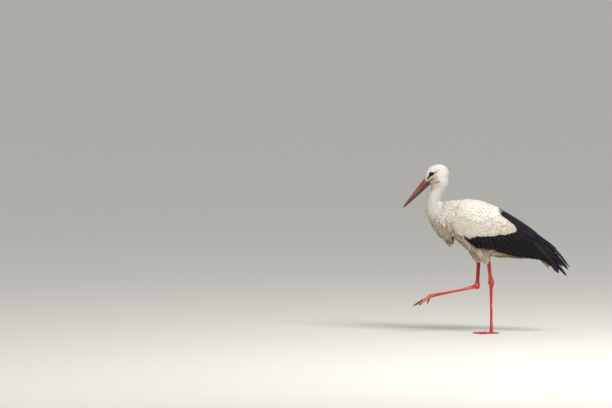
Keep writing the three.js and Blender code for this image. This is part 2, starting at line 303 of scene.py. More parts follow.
def finish_mesh(mesh, finish, marks=None):
    """Stores numbers at the vertices, smooths the faces and gives them all one material."""
    for name, values in (marks or {}).items():
        layer = mesh.attributes.new(name, "FLOAT", "POINT")
        layer.data.foreach_set("value", np.asarray(values, np.float32).ravel())
    mesh.polygons.foreach_set("use_smooth", np.ones(len(mesh.polygons), bool))
    mesh.polygons.foreach_set("material_index", np.zeros(len(mesh.polygons), np.int32))
    mesh.materials.clear()
    mesh.materials.append(finish)


def read_points(mesh):
    """The vertices, in millimetres."""
    flat = np.empty(len(mesh.vertices) * 3)
    mesh.vertices.foreach_get("co", flat)
    return flat.reshape(-1, 3) / MM


def write_points(mesh, points):
    """Moves the vertices to these places, in millimetres."""
    mesh.vertices.foreach_set("co", (points * MM).ravel())
    mesh.update()


def facing(mesh):
    """The vertex normals."""
    flat = np.empty(len(mesh.vertices) * 3)
    mesh.vertex_normals.foreach_get("vector", flat)
    return flat.reshape(-1, 3)


def relax(mesh, rounds, hold=None):
    """Moves each vertex half way to the middle of its neighbours. hold, 0 to 1, keeps it back."""
    ends = np.empty(len(mesh.edges) * 2, int)
    mesh.edges.foreach_get("vertices", ends)
    one, two = ends.reshape(-1, 2).T
    points = read_points(mesh)
    count = len(points)
    degree = np.bincount(one, minlength=count) + np.bincount(two, minlength=count)
    share = 0.5 if hold is None else 0.5 * (1 - hold[:, None])
    for _ in range(rounds):
        total = np.stack([np.bincount(one, row[two], count) + np.bincount(two, row[one], count)
                          for row in points.T], 1)
        points += share * (total / degree[:, None] - points)
    write_points(mesh, points)


# %% Which solid is nearest
FLESH = ["trunk", "neck_lower", "neck_upper", "head"]
SIDES = {"left": -1, "right": 1}
WHITE_WING = [f"wing_{side}_{part}" for side in SIDES for part in ("scapulars", "coverts")]
BLACK_PARTS = ("tertials", "secondaries", "primaries")
BLACK_WING = [f"wing_{side}_{part}" for side in SIDES for part in BLACK_PARTS]
THIGHS = [f"thigh_{side}" for side in SIDES]

owner_names = FLESH + WHITE_WING + BLACK_WING + THIGHS + ["tail"]
solid_points, solid_faces, solid_owner = [], [], []
for number, name in enumerate(owner_names):
    source = nodes[name].data
    start = sum(len(p) for p in solid_points)
    solid_points.append(read_points(source))
    for polygon in source.polygons:
        solid_faces.append([start + v for v in polygon.vertices])
        solid_owner.append(number)
solid_tree = BVHTree.FromPolygons(np.concatenate(solid_points).tolist(), solid_faces)
solid_owner = np.array(solid_owner)


def owners(points):
    """The number, in owner_names, of the solid nearest to each point."""
    return solid_owner[[solid_tree.find_nearest(p)[2] for p in points.tolist()]]


def is_from(owner, names):
    """Whether each owner is one of these solids."""
    return np.isin(owner, [owner_names.index(name) for name in names])


# %% What the relaxing rounds off
FOREHEAD_PUSH = 8.0
EYE_KEPT = 13.0
NAPE_LEVEL, NAPE_REACH, NAPE_PULL = 600, 10, 3.5
# How far the corner between neck and back is lifted: x and the lift.
CORNER_LIFT = np.array([(-235, 0), (-222, 5), (-206, 8), (-186, 4), (-165, 6), (-145, 7.5), (-120, 3),
                        (-95, 0)])


def sharpen_corner(mesh):
    """Gives back the corner between neck and back, which the relaxing rounds off."""
    points, normals = read_points(mesh), facing(mesh)
    x, _, z = points.T
    lift = np.interp(x, *CORNER_LIFT.T)
    lift *= ramp(normals[:, 2], 0.2, 0.7) * (z > 560) * (z < 625)
    nape = np.exp(-((z - NAPE_LEVEL) / NAPE_REACH) ** 2) * ramp(normals[:, 0], 0.2, 0.7)
    nape *= (x < -195) * (x > -260)
    points[:, 2] += lift
    points[:, 0] -= NAPE_PULL * nape
    write_points(mesh, points)
    relax(mesh, 1)


# The outlines of the breast, as z and x, and of the front of the belly, as x and z.
BREAST_LINE = np.array([(396, -189), (411, -200), (421, -209), (430, -224), (441, -240), (454, -248),
                        (462, -255), (471, -264), (484, -270), (500, -278), (513, -284), (531, -290),
                        (542, -296), (563, -302)], float)
BELLY_LINE = np.array([(-182, 437), (-176, 436), (-168, 428), (-153, 417), (-137, 403), (-122, 391)], float)
FOREHEAD = np.array([-282.0, 0, 734])
FOREHEAD_WAY = np.array([-0.8, 0, 0.6])
EYE = np.array([-272.0, 16.0, 721.0])


def from_eye(points):
    """How far each point is from the eye's middle, seen from the side."""
    return np.linalg.norm(points[:, [0, 2]] - EYE[[0, 2]], axis=1)


def draw_in(points, share, line, axis, reach):
    """Moves the rim of a form, its lowest x (axis 0) or z (axis 2), in to a line seen from the side."""
    level = points[:, 2 - axis]
    part = (share > 0) & (level > line[0, 0]) & (level < line[-1, 0])
    rows, row = np.unique(((level[part] - line[0, 0]) / 4).astype(int), return_inverse=True)
    rim = np.full(len(rows), np.inf)
    np.minimum.at(rim, row, points[part, axis])
    rim = np.convolve(np.pad(rim, 2, "edge"), np.full(5, 0.2), "valid")[row]
    wanted = np.interp(level[part], *line.T)
    inward = np.clip(1 - (points[part, axis] - rim) / reach, 0, 1) * share[part]
    points[part, axis] += np.maximum(wanted - rim, 0) * inward


def fill_forehead(mesh):
    """Gives back the full forehead, which the relaxing flattens."""
    points = read_points(mesh)
    off = (points - FOREHEAD) / (28, 60, 28)
    push = FOREHEAD_PUSH * np.exp(-(off ** 2).sum(1)) * np.clip(facing(mesh) @ FOREHEAD_WAY, 0, 1)
    push *= 1 - np.exp(-(from_eye(points) / EYE_KEPT) ** 2) * ramp(np.abs(points[:, 1]), 6, 11)
    write_points(mesh, points + push[:, None] * FOREHEAD_WAY)


def meet_outline(mesh):
    """Draws the breast and the front of the belly in to their outlines."""
    points = read_points(mesh)
    x, y, z = points.T
    draw_in(points, ((x < -150) & (z < 575)).astype(float), BREAST_LINE, 0, 90)
    draw_in(points, ramp(np.abs(y), 75, 50) * (z < 480), BELLY_LINE, 2, 50)
    write_points(mesh, points)
    relax(mesh, 1)


# %% The hulls
HULL_VOXEL = 2.2
HULL_ROUNDS = 22
WING_ROUNDS = 7
HEAD_HOLD = 0.55


def make_hull(names, rounds, hold_head=True):
    """A smooth closed mesh round these solids."""
    hull = melted("hull", solids(names), HULL_VOXEL)
    hold = ramp(read_points(hull.data)[:, 2], 640, 680) * HEAD_HOLD
    relax(hull.data, rounds, hold if hold_head else None)
    sharpen_corner(hull.data)
    if hold_head:
        fill_forehead(hull.data)
        meet_outline(hull.data)
    return hull


class Surface:
    """Answers where a smooth mesh's surface is nearest, and which way it faces there."""

    def __init__(self, hull):
        faces = [list(p.vertices) for p in hull.data.polygons]
        self.points = read_points(hull.data)
        self.tree = BVHTree.FromPolygons(self.points.tolist(), faces)
        self.corners = np.array([(f * 2)[:4] for f in faces])
        self.normals = unit(facing(hull.data)[self.corners].sum(1))

    def nearest(self, points):
        """The nearest place on the surface to each point, and the normal there."""
        found = [self.tree.find_nearest(p) for p in points.reshape(-1, 3).tolist()]
        feet, normals = np.array([f[0][:] for f in found]), self.normals[[f[2] for f in found]]
        return feet.reshape(points.shape), normals.reshape(points.shape)

    def hit(self, start, direction):
        """Where a ray meets the surface, or else the nearest place to its start."""
        foot = self.tree.ray_cast(start, direction)[0]
        return np.array(foot[:] if foot else self.tree.find_nearest(start)[0][:])


body_hull = make_hull(owner_names, HULL_ROUNDS)
hull = Surface(body_hull)
wing_hull = make_hull(WHITE_WING + BLACK_WING + ["tail", "trunk"], WING_ROUNDS, hold_head=False)
wing = Surface(wing_hull)
print("hull", len(hull.corners), "faces, wing hull", len(wing.corners))

# %% [markdown]
# ## Where colours change
# The white of the wing ends in a jagged fringe over the black feathers. Seen from the side that
# edge is one gentle line, and the black wing lies below and behind it. The bare black skin round
# the eye runs forward to the bill in a wedge.

# %% Lines and patches of colour
FRINGE = np.array([(-200, 446), (-134, 444), (-120, 432), (-106, 425), (-98, 432), (-91, 440), (-80, 437),
                   (-72, 431), (-67, 448), (-61, 455), (-50, 448), (-42, 456), (-35, 442), (-14, 442),
                   (4, 443), (20, 446), (28, 454), (42, 453), (51, 448), (72, 453), (84, 459), (96, 461),
                   (122, 468), (130, 482), (150, 500), (300, 520)])
LORES = ((-276, 717), (-288.5, 701))
EYE_CORNER = ((-266, 724), (-260, 728))
RING_SIZE, RING_LONG, RING_HIGH = 9.6, 1.1, 0.92
WEDGE_START, WEDGE_TAPER, CORNER_SIZE = 5.6, 2.4, 2.4


def below_fringe(points):
    """How far each point lies under the white wing's lower edge, seen from the side (mm)."""
    return np.interp(points[..., 0], *FRINGE.T) - points[..., 2]


def off_line(points, start, end):
    """How far each point is from a line seen from the side, and how far along it, 0 to 1."""
    flat = points[:, [0, 2]]
    start, end = np.array(start, float), np.array(end, float)
    span = end - start
    along = np.clip((flat - start) @ span / (span @ span), 0, 1)
    return np.linalg.norm(flat - start - along[:, None] * span, axis=1), along


def near_line(points, start, end, reach):
    """1 on a line seen from the side, fading to 0 at reach."""
    return np.clip(1.5 * (1 - off_line(points, start, end)[0] / reach), 0, 1)


def bare_face(points, spare=0.0):
    """1 on the bare black skin round the eye and in the wedge that runs to the bill, fading to 0."""
    flat = points[:, [0, 2]] - EYE[[0, 2]]
    ring = RING_SIZE - np.hypot(flat[:, 0] / RING_LONG, flat[:, 1] / RING_HIGH)
    off, along = off_line(points, *LORES)
    wedge = WEDGE_START - WEDGE_TAPER * along - off
    corner = CORNER_SIZE - off_line(points, *EYE_CORNER)[0]
    reach = np.maximum.reduce([ring, wedge, corner])
    return np.clip((reach + spare) / 1.2 + 0.5, 0, 1) * (np.abs(points[:, 1]) > 5)


# %% [markdown]
# ## The skin
# Museum models are made over a smooth body form. Three forms are made here: the body at a coarse
# grain, the head finely, because it shows, and the bare legs finely too. Each is the hull moved
# inwards by the depth of the plumage, in small steps with some relaxing between them, so that
# thin places shrink instead of turning inside out. A Boolean union then makes them one skin.

# %% Body form
BODY_VOXEL = 4.8
HEAD_VOXEL = 1.3
LEG_VOXEL = 1.1
SINK_BELOW_FEATHERS = 0.5
BARE_DEPTH = 0.5
TAIL_ROOT = np.array([225.0, 0, 375])
TAIL_WAY = np.array([0.72, 0, -0.69])
TAIL_CUT = 0.5
NECK_JOIN_SINK = 3.0


def pull_in(thing, depth_of, steps=5):
    """Moves the surface inwards by depth_of(points) in all."""
    mesh = thing.data
    depth = depth_of(read_points(mesh))
    for _ in range(steps):
        write_points(mesh, read_points(mesh) - facing(mesh) * depth[:, None] / steps)
        relax(mesh, 1)


def body_depth(points):
    """The plumage's depth, with the upper neck a little deeper so that it hides in the head form."""
    neck = ramp(points[:, 2], 642, 650)
    return plumage_at(points)[:, DEPTH] + SINK_BELOW_FEATHERS + NECK_JOIN_SINK * neck


body = melted("skin", solids(FLESH[:3] + WHITE_WING + BLACK_WING + THIGHS), BODY_VOXEL)
relax(body.data, 8)
sharpen_corner(body.data)
meet_outline(body.data)
pull_in(body, body_depth)
# Behind the tail's root the form is drawn in to half its length, because only feathers reach so far.
points = read_points(body.data)
beyond = np.maximum((points - TAIL_ROOT) @ TAIL_WAY, 0)[:, None]
write_points(body.data, points - TAIL_CUT * beyond * TAIL_WAY)
print("body form", len(body.data.polygons), "faces")

# %% Head form
LID_REACH = 9.0
LID_SINK = 1.7
NECK_MIDDLE = np.array([-247.0, 0, 648])


def head_depth(points):
    """The plumage's depth, nearly none on the bare face, and more in the hollow round the eye."""
    bare = bare_face(points)
    hollow = LID_SINK * np.clip(1 - (from_eye(points) / LID_REACH) ** 2, 0, 1) * (np.abs(points[:, 1]) > 10)
    return plumage_at(points)[:, DEPTH] * (1 - bare) + BARE_DEPTH * bare + hollow


head = melted("head_form", solids(["head", "neck_upper", "eye_left", "eye_right"]), HEAD_VOXEL)
relax(head.data, 16)
fill_forehead(head.data)
pull_in(head, head_depth, 3)
points = read_points(head.data)
below = ramp(points[:, 2:], 656, 646)
write_points(head.data, points - 0.3 * below * (points - NECK_MIDDLE) * (1, 1, 0))
print("head form", len(head.data.polygons), "faces")

# %% [markdown]
# ## Scaled legs
# A stork's bare leg is covered in horny scales: small many-sided ones on the shank, and broad
# plates, the scutes, across the top of each toe. They could be a bump in the material alone, but
# a mesh kept as a shape needs them as real relief, so each vertex is moved a little: inwards near
# the border between two scales. Which scale a vertex is on follows from the nearest of many
# scattered seeds, as with cells.

# %% Leg form
SCALE_SIZE = 3.4
SCALE_BORDER = 1.1
SCALE_RELIEF = 0.38
SCUTE_PITCH = 4.6
SCUTE_RELIEF = 0.5
LEG_SWELL = 1.1
SHIN_SWELL = 1.2
BUTTON, BUTTON_RING = 0.9, 0.8
FOOT_REACH = 95
ANKLES = {"left": np.array([0.0, 0, 0]), "right": np.array([-279.0, 27, 167])}
KNEES = (((-10.6, -27.2, 300), (-19.5, -33, 345)), ((-57, 38.5, 300), (-60, 40, 345)))
# Each hock: its middle seen from the side, its side, and how far and how high its knob swells.
HOCKS = (((-2, 234), -1, 17, 3.4), ((-66, 212), 1, 17, 3.2))
DIGITS = (1, 2, 3, 4)
LEG_NODES = [f"{part}_{side}" for side in SIDES for part in ("shin", "shank")]
LEG_NODES += [f"toe_{side}_{digit}" for side in SIDES for digit in DIGITS]

leg_shape = solids(LEG_NODES)
for low, high in KNEES:
    # The shin goes on upwards inside the thigh's feathers, where the solids leave it out.
    axis = Vector(high) - Vector(low)
    turn = axis.to_track_quat("Z", "Y").to_matrix().to_4x4()
    middle = Matrix.Translation((Vector(high) + Vector(low)) / 2 * MM)
    bmesh.ops.create_cone(leg_shape, cap_ends=True, segments=24, radius1=6 * MM, radius2=9 * MM,
                          depth=axis.length * MM, matrix=middle @ turn)
legs = melted("leg_form", leg_shape, LEG_VOXEL)
relax(legs.data, 10)
points, normals = read_points(legs.data), facing(legs.data)

to_ankle = {side: np.linalg.norm(points - ankle, axis=1) for side, ankle in ANKLES.items()}
raised = ANKLES["right"]
is_foot = {"left": points[:, 2] < 9,
           "right": (points[:, 0] < raised[0] + 6) | (points[:, 2] < raised[2] - 9)}
on_toe = np.maximum.reduce([ramp(to_ankle[side], 9, 13) * (to_ankle[side] < FOOT_REACH)
                            * is_foot[side] for side in SIDES])


def seed_in(cells):
    """A fixed scattered point in each cell of a grid."""
    mix = (cells * (73856093, 19349663, 83492791)).sum(1) & 0x7FFFFFFF
    spread = np.stack([(mix * k % 9973) / 9973 for k in (31, 57, 89)], 1)
    return (cells + 0.15 + 0.7 * spread) * SCALE_SIZE


cell = np.floor(points / SCALE_SIZE).astype(int)
first = np.full(len(points), 1e9)
second = first.copy()
for step in np.ndindex(3, 3, 3):
    gap = np.linalg.norm(points - seed_in(cell + np.array(step) - 1), axis=1)
    second = np.minimum(second, np.maximum(first, gap))
    first = np.minimum(first, gap)
border = np.clip((second - first) / SCALE_BORDER, 0, 1)
near_ankle = np.minimum(to_ankle["left"], to_ankle["right"])
scute = np.abs(np.sin(near_ankle * math.pi / SCUTE_PITCH)) ** 0.5
upward = np.clip(normals[:, 2] * 1.5 + 0.2, 0, 1)
on_foot = scute * upward + border * (1 - upward)
relief = (1 - on_toe) * SCALE_RELIEF * border + on_toe * SCUTE_RELIEF * on_foot
swell = LEG_SWELL + SHIN_SWELL * ramp(points[:, 2], 240, 255)
sideways = np.clip(np.abs(normals[:, 1]) * 1.6 - 0.5, 0, 1)
for (hock_x, hock_z), side, reach, height in HOCKS:
    off = np.hypot(points[:, 0] - hock_x, points[:, 2] - hock_z) + 200 * (points[:, 1] * side < 0)
    swell += height * np.exp(-(off / reach) ** 2)
    # The ankle bone's round end shows on the joint's sides as a button in a shallow ring.
    knob, ring = np.exp(-(off / 5.0) ** 4), np.exp(-((off - 8.0) / 1.8) ** 2)
    swell += sideways * (BUTTON * knob - BUTTON_RING * ring)
points = points + normals * (swell - SCALE_RELIEF + relief)[:, None]
points[:, 2] = np.maximum(points[:, 2], 0)
write_points(legs.data, points)
print("leg form", len(legs.data.polygons), "faces,", int((on_toe > 0.5).sum()), "vertices on the toes")

# %% [markdown]
# ## Eyelids
# A bird's eye is a ball, and the lids are two soft rims that hug it, open in an almond that is a
# little longer than high. A ring is spun from a small circle and flattened to that almond, then
# joined to the skin.

# %% Lids and the one skin
LID_RING = 6.2
LID_THICK = 1.15
LID_HEIGHT = 0.93
LID_OUT = 21.1


def lid_ring(side):
    """One closed rim round the eye on that side."""
    shape = bmesh.new()
    section = bmesh.ops.create_circle(shape, segments=12, radius=LID_THICK * MM)["verts"]
    bmesh.ops.rotate(shape, verts=section, matrix=Matrix.Rotation(math.pi / 2, 3, "X"))
    bmesh.ops.translate(shape, verts=section, vec=(LID_RING * MM, 0, 0))
    edges = list(shape.edges)
    bmesh.ops.spin(shape, geom=section + edges, cent=(0, 0, 0), axis=(0, 1, 0), angle=math.tau,
                   steps=40, use_merge=True)
    bmesh.ops.remove_doubles(shape, verts=shape.verts, dist=1e-6)
    for vert in shape.verts:
        corner = abs(vert.co.x) / (LID_RING * MM)
        vert.co.x *= 1.04 + 0.06 * corner ** 4
        vert.co.z *= LID_HEIGHT
    turn = Matrix.Identity(4)
    for degrees, axis in ((7 * side, "Z"), (-9 * side, "X"), (-38, "Y")):
        turn = turn @ Matrix.Rotation(math.radians(degrees), 4, axis)
    bmesh.ops.transform(shape, verts=shape.verts, matrix=turn)
    bmesh.ops.translate(shape, verts=shape.verts, vec=Vector((EYE[0], side * LID_OUT, EYE[2])) * MM)
    bmesh.ops.recalc_face_normals(shape, faces=shape.faces)
    return new_object("lid", shape)


pieces_of_skin = [head, legs] + [lid_ring(side) for side in SIDES.values()]
skin = body
for piece in pieces_of_skin:
    skin = with_modifier(skin, "BOOLEAN", object=piece, operation="UNION", solver="MANIFOLD")
    print("skin with", piece.name, len(skin.data.polygons), "faces")
    bpy.data.objects.remove(piece)

# %% Marks on the skin
SHIN_REACH = 10.8
SHANK_SLOPE = math.atan2(212 - 170, 212)
# Each darkened stretch of the lifted foot: a line seen from the side, and how far the dark reaches.
DARK_TOE_LINES = (((-312, 152), (-356, 121), 5.5), ((-281, 150), (-284, 128), 6.5))
points = read_points(skin.data)
x, y, z = points.T
leg_like = (z < 286) & (x < 60)
for low, high in np.array(KNEES, float):
    axis = unit(high - low)
    away = points - low
    away = np.linalg.norm(away - (away @ axis)[:, None] * axis, axis=1)
    leg_like |= (away < SHIN_REACH) & (z < 352)
# The streaks run along each leg, so the lifted shank's places are turned upright for their pattern.
cos, sin = math.cos(SHANK_SLOPE), math.sin(SHANK_SLOPE)
turned = np.stack([z * cos - x * sin, y, x * cos + z * sin], 1)
lifted_shank = (y > 5) & (z < 214) & (x < -62)
grain = np.where(lifted_shank[:, None], turned, points)
long_toe, hind_toe = (near_line(points, *stretch) for stretch in DARK_TOE_LINES)
skin_marks = {
    "bare_leg": leg_like,
    "dark_toe_marks": np.maximum(long_toe * (z < 165) * (y < 27), hind_toe),
    "bare_face": bare_face(points, spare=0.9),
    "black": is_from(owners(points), BLACK_WING),
    "soil_and_shade": plumage_at(points)[:, SOIL_AND_SHADE],
}
layer = skin.data.attributes.new("grain", "FLOAT_VECTOR", "POINT")
layer.data.foreach_set("vector", (grain * MM).astype(np.float32).ravel())

# %% [markdown]
# ## Finishes of the plumage
# A feather is keratin, matt and slightly silky. White ones look warm, and the shade between them
# does more for their look than their colour. Barbs run from the shaft at a slant; the real ones
# are a third of a millimetre apart, too fine to show, so they are drawn about 1 mm apart. Black
# flight feathers are glossier, with a slate bloom on the web that lies outside.

# %% Plumage finishes
BARB_PITCH = 1.1
BLACK_BARB_PITCH = 1.4
BARB_SLANT = -1.1
BARB_WOBBLE = 3.0


def barbs(add, pitch):
    """Slanting barbs from the vane map, whose u is across the shaft and v along it, in mm."""
    vane = add("UVMap", uv_map="vane")
    across = add("Math", add("SeparateXYZ", vane), operation="ABSOLUTE")
    slant = add("Math", across, BARB_SLANT, add("SeparateXYZ", vane, out=1), operation="MULTIPLY_ADD")
    wobble = add("TexNoise", vane, Scale=0.35, Detail=2.0)
    bent = add("Math", wobble, BARB_WOBBLE, slant, operation="MULTIPLY_ADD")
    return add("Math", add("Math", bent, math.tau / pitch, operation="MULTIPLY"), operation="SINE")


def white_feather(add, dull, bright):
    """Cream white, buff where the marks say so (soil and painted shade), painted shade at each root."""
    soil_and_shade, tone, ink_and_shade, along = (add("Attribute", attribute_name=name, out="Fac")
                              for name in ("soil_and_shade", "tone", "ink_and_shade", "along"))
    cloud = add("TexNoise", add("TexCoord", out="Object"), Scale=38.0, Detail=3.0)
    patchy = add("MapRange", cloud, 0.3, 0.7, 0.7, 1.35)
    # Soiled buff, which on the underside and the coverts is partly painted shade, deeper brown past 0.85.
    uneven = add("Math", soil_and_shade, patchy, operation="MULTIPLY", use_clamp=True)
    deep = add("MapRange", soil_and_shade, 0.85, 1.2, 0.0, 0.6)
    # Painted shade: each feather darkens towards its root, down between the feathers, more where it is
    # soiled.
    at_root = add("MapRange", along, 0.0, 0.6, 1.0, 0.0)
    loose = add("MapRange", soil_and_shade, 0.1, 0.7, 0.02, 0.6)
    between = add("Math", at_root, loose, operation="MULTIPLY")
    # The dark mark: dark feathers, with painted shade in creases and under the scapulars' edge.
    return layered(add, dull, (tone, bright), (uneven, "#a08349"), (deep, "#6a4a18"), (ink_and_shade, "#2c211b"),
                   (between, "#6d5a38"))


# Down is soft keratin: its sheen lights the edges of each tuft.
white_down, add = new_finish("contour_feather_keratin_white")
close_finish(add, white_feather(add, "#ece6dd", "#fcf9f5"), Roughness=0.78, Sheen_Weight=0.4,
             Sheen_Roughness=0.5, IOR=1.54)

# A vane's barbs lie close, so it is smoother than down and has fine ridges. The coverts' tints are a
# darker copy of the scapulars': painted shade.
VANE_TINTS_AND_SHADE = {"scapulars": ("#ded8cf", "#f3efe9"), "coverts": ("#c9c4bc", "#dfdad3")}
white_vanes = {}
for part, tints in VANE_TINTS_AND_SHADE.items():
    white_vanes[part], add = new_finish(f"{part}_feather_keratin_white")
    ridges = barbs(add, BARB_PITCH)
    # Painted shade: the furrows between the barb ridges are darkened.
    furrow_shade = add("Math", add("Math", 1.0, ridges, operation="SUBTRACT"), 0.05, operation="MULTIPLY")
    close_finish(add, layered(add, white_feather(add, *tints), (furrow_shade, "#6e6558")),
                 (ridges, 0.35, 0.0003), Roughness=0.7, Sheen_Weight=0.2, Sheen_Roughness=0.5, IOR=1.54)

# Black keratin holds melanin, which makes it harder and glossier, with a slate bloom.
black_vane, add = new_finish("flight_feather_keratin_black")
tone, bloom, shaft = (add("Attribute", attribute_name=name, out="Fac")
                      for name in ("tone", "bloom", "shaft"))
worn = add("TexNoise", add("TexCoord", out="Object"), Scale=14.0, Detail=2.0)
bloom = add("Math", bloom, worn, operation="MULTIPLY", use_clamp=True)
colour = layered(add, "#060507", (tone, "#0c0b0d"), (bloom, "#211f29"), (shaft, "#2a262b"))
close_finish(add, colour, (barbs(add, BLACK_BARB_PITCH), 0.45, 0.0004), Roughness=0.5, Sheen_Weight=0.04,
             Sheen_Roughness=0.35, Sheen_Tint="#8f8cab", IOR=1.56, Specular_IOR_Level=0.1)
print(len(VANE_TINTS_AND_SHADE) + 2, "plumage finishes")

# %% [markdown]
# ## Finish of the skin
# The legs are horny skin, red with paler dust on it, which low on the legs also stands for a painted
# highlight. Painted shade darkens the grooves between the scales and the legs' tops under the body.
# The bare face is matt black. Under the plumage the skin carries the plumage's own colours, so that a
# parting between two feathers never shows anything else.

# %% Skin finish
skin_finish, add = new_finish("horny_bird_skin")
place = add("TexCoord", out="Object")
ahead, high = (add("SeparateXYZ", place, out=axis) for axis in (0, 2))
dark_toe_marks, soil_and_shade, black, face, leg = (add("Attribute", attribute_name=name, out="Fac")
                               for name in ("dark_toe_marks", "soil_and_shade", "black", "bare_face", "bare_leg"))
grain = add("Attribute", attribute_name="grain", out="Vector")
streak = add("TexNoise", add("Mapping", grain, Scale=(150.0, 150.0, 7.0)), Scale=1.0, Detail=4.0)
cells = add("TexVoronoi", place, feature="DISTANCE_TO_EDGE", Scale=290.0)
# Painted shade in the grooves between the scales.
groove_shade = add("MapRange", cells, 0.0, 0.16, 0.5, 0.0)
# Pale dust streaks, more of them low down, where they also stand for a painted highlight.
low_dust_and_highlight = add("MapRange", high, 0.19, 0.25, 1.0, 0.5)
dust_and_highlight = add("Math", add("MapRange", streak, 0.5, 0.68, 0.0, 0.9), low_dust_and_highlight, operation="MULTIPLY")
# Painted shade: the tops of the legs, under the body, are darker.
shade_under_body = add("MapRange", high, 0.21, 0.3, 0.0, 0.4)
dried = add("MapRange", ahead, -0.25, -0.3, 0.0, 0.5)
horn = layered(add, "#a01517", (streak, "#cf332e"), (groove_shade, "#6c0e12"), (dust_and_highlight, "#dc938c"),
               (shade_under_body, "#5f0f12"), (dried, "#d68a72"), (dark_toe_marks, "#1d130f"))
under = layered(add, "#ddd6ca", (soil_and_shade, "#7d663a"), (black, "#141216"), (face, "#080607"))
fine = add("TexNoise", place, Scale=900.0, Detail=2.0)
height = add("Math", cells, 2.0, add("Math", fine, 0.15, operation="MULTIPLY"), operation="MULTIPLY_ADD")
close_finish(add, layered(add, under, (leg, horn)), (height, 0.5, 0.0004), Roughness=0.5, IOR=1.5,
             Specular_IOR_Level=0.36)
finish_mesh(skin.data, skin_finish, skin_marks)


def hand_over(piece, slot, *stood_for):
    """Finishes off a piece: it rides on the one body and stands for these CAD nodes, which are hidden."""
    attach(piece, "root")
    if stood_for:
        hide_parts(*stood_for)
    piece.data.calc_loop_triangles()
    print(piece.name, len(piece.data.loop_triangles), "triangles")


hand_over(skin, "leg_skin", *FLESH, *THIGHS, *LEG_NODES)

# %% [markdown]
# ## Laying a feather
# Every feather starts under the hull and follows it along the lie of the plumage, so its midline
# is marched in short steps: a step along the surface, then back to the nearest place on the hull.
# The root lies as deep as the plumage there, and the tip rises almost to the hull. Each feather
# covers the roots of the next ones, as roof tiles do.

# %% Scattering roots and marching midlines
face_middle = hull.points[hull.corners].mean(1)
face_owner = owners(face_middle)
first, second, third, fourth = (hull.points[hull.corners[:, i]] for i in range(4))
face_area = np.linalg.norm(np.cross(third - first, fourth - second), axis=1) / 2
face_traits = plumage_at(face_middle)
TRIES = 4.5
rng = np.random.default_rng(20)


def scatter(chosen, crowd):
    """Random roots on the chosen faces. None is nearer to another than its gap over crowd."""
    faces = np.flatnonzero(chosen)
    gap = face_traits[faces, GAP] / crowd
    weight = face_area[faces] / gap ** 2
    picks = rng.choice(len(faces), int(TRIES * weight.sum()), p=weight / weight.sum())
    u, v = rng.random((2, len(picks), 1))
    a, b, c, d = hull.points[hull.corners[faces[picks]]].transpose(1, 0, 2)
    points = (a * (1 - u) + b * u) * (1 - v) + (d * (1 - u) + c * u) * v
    reach = gap[picks]
    keys = np.floor(points / reach.max()).astype(int).tolist()
    near = [(i, j, k) for i in (-1, 0, 1) for j in (-1, 0, 1) for k in (-1, 0, 1)]
    taken, kept = {}, []
    rows = zip(points.tolist(), keys, (reach ** 2).tolist())
    for number, ((x, y, z), (i, j, k), clear) in enumerate(rows):
        around = (p for di, dj, dk in near for p in taken.get((i + di, j + dj, k + dk), ()))
        if all((px - x) ** 2 + (py - y) ** 2 + (pz - z) ** 2 >= clear for px, py, pz in around):
            taken.setdefault((i, j, k), []).append((x, y, z))
            kept.append(number)
    return points[kept]


def march(surface, roots, lie, length, steps):
    """Each feather's midline on the surface, with the outward and the sideways directions."""
    foot, normal = surface.nearest(roots)
    heading = np.stack([lie[:, 0], lie[:, 2], lie[:, 1]], 1)
    path, out, across = [], [], []
    for step in range(steps + 1):
        tangent = unit(heading - normal * (heading * normal).sum(1, keepdims=True))
        path.append(foot)
        out.append(normal)
        across.append(np.cross(normal, tangent))
        heading = heading * 0.6 + tangent * 0.4
        if step < steps:
            foot, normal = surface.nearest(foot + tangent * (length / steps)[:, None])
    return np.stack(path, 1), np.stack(out, 1), np.stack(across, 1)


# %% [markdown]
# ## Tufts and vanes
# Two builders make all the plumage. A tuft is a fan of slim closed locks, three-sided in section,
# for soft loose feathers. A vane is one thin closed blade with a shaft, for feathers that lie flat.
# Thousands of them are computed at once as arrays and become one mesh, which is far quicker than
# one object for each. Both get a second map, OFBake: a patch of 0.003 for each feather, at its
# root's place on an unrolled body, so that a baked colour belongs to one feather. Where there are
# only a few large feathers, each has a cell of the map to itself.

# %% Joined meshes
PATCH = 0.003
SPINE = np.array([(-300, 685), (-262, 703), (-232, 716), (-238, 680), (-250, 640), (-261, 600), (-262, 560),
                  (-235, 510), (-140, 500), (-15, 455), (105, 412), (200, 355), (352, 262)], float)


def unrolled(points):
    """Each point's place on the body unrolled round its spine: 0 to 1 along, 0 to 1 around."""
    starts, spans = SPINE[:-1], np.diff(SPINE, axis=0)
    lengths = np.linalg.norm(spans, axis=1)
    before = np.concatenate([[0], np.cumsum(lengths)[:-1]])
    flat = points[:, None, [0, 2]] - starts
    share = np.clip((flat * spans).sum(2) / lengths ** 2, 0, 1)
    offset = flat - share[:, :, None] * spans
    best = np.argmin((offset ** 2).sum(2), axis=1)
    row = np.arange(len(points))
    along, off = spans[best] / lengths[best][:, None], offset[row, best]
    height = along[:, 0] * off[:, 1] - along[:, 1] * off[:, 0]
    place = np.stack([(before + share * lengths)[row, best], np.arctan2(points[:, 1], height)], 1)
    low, high = place.min(0), place.max(0)
    return 0.004 + 0.988 * (place - low) / np.maximum(high - low, 1e-9)


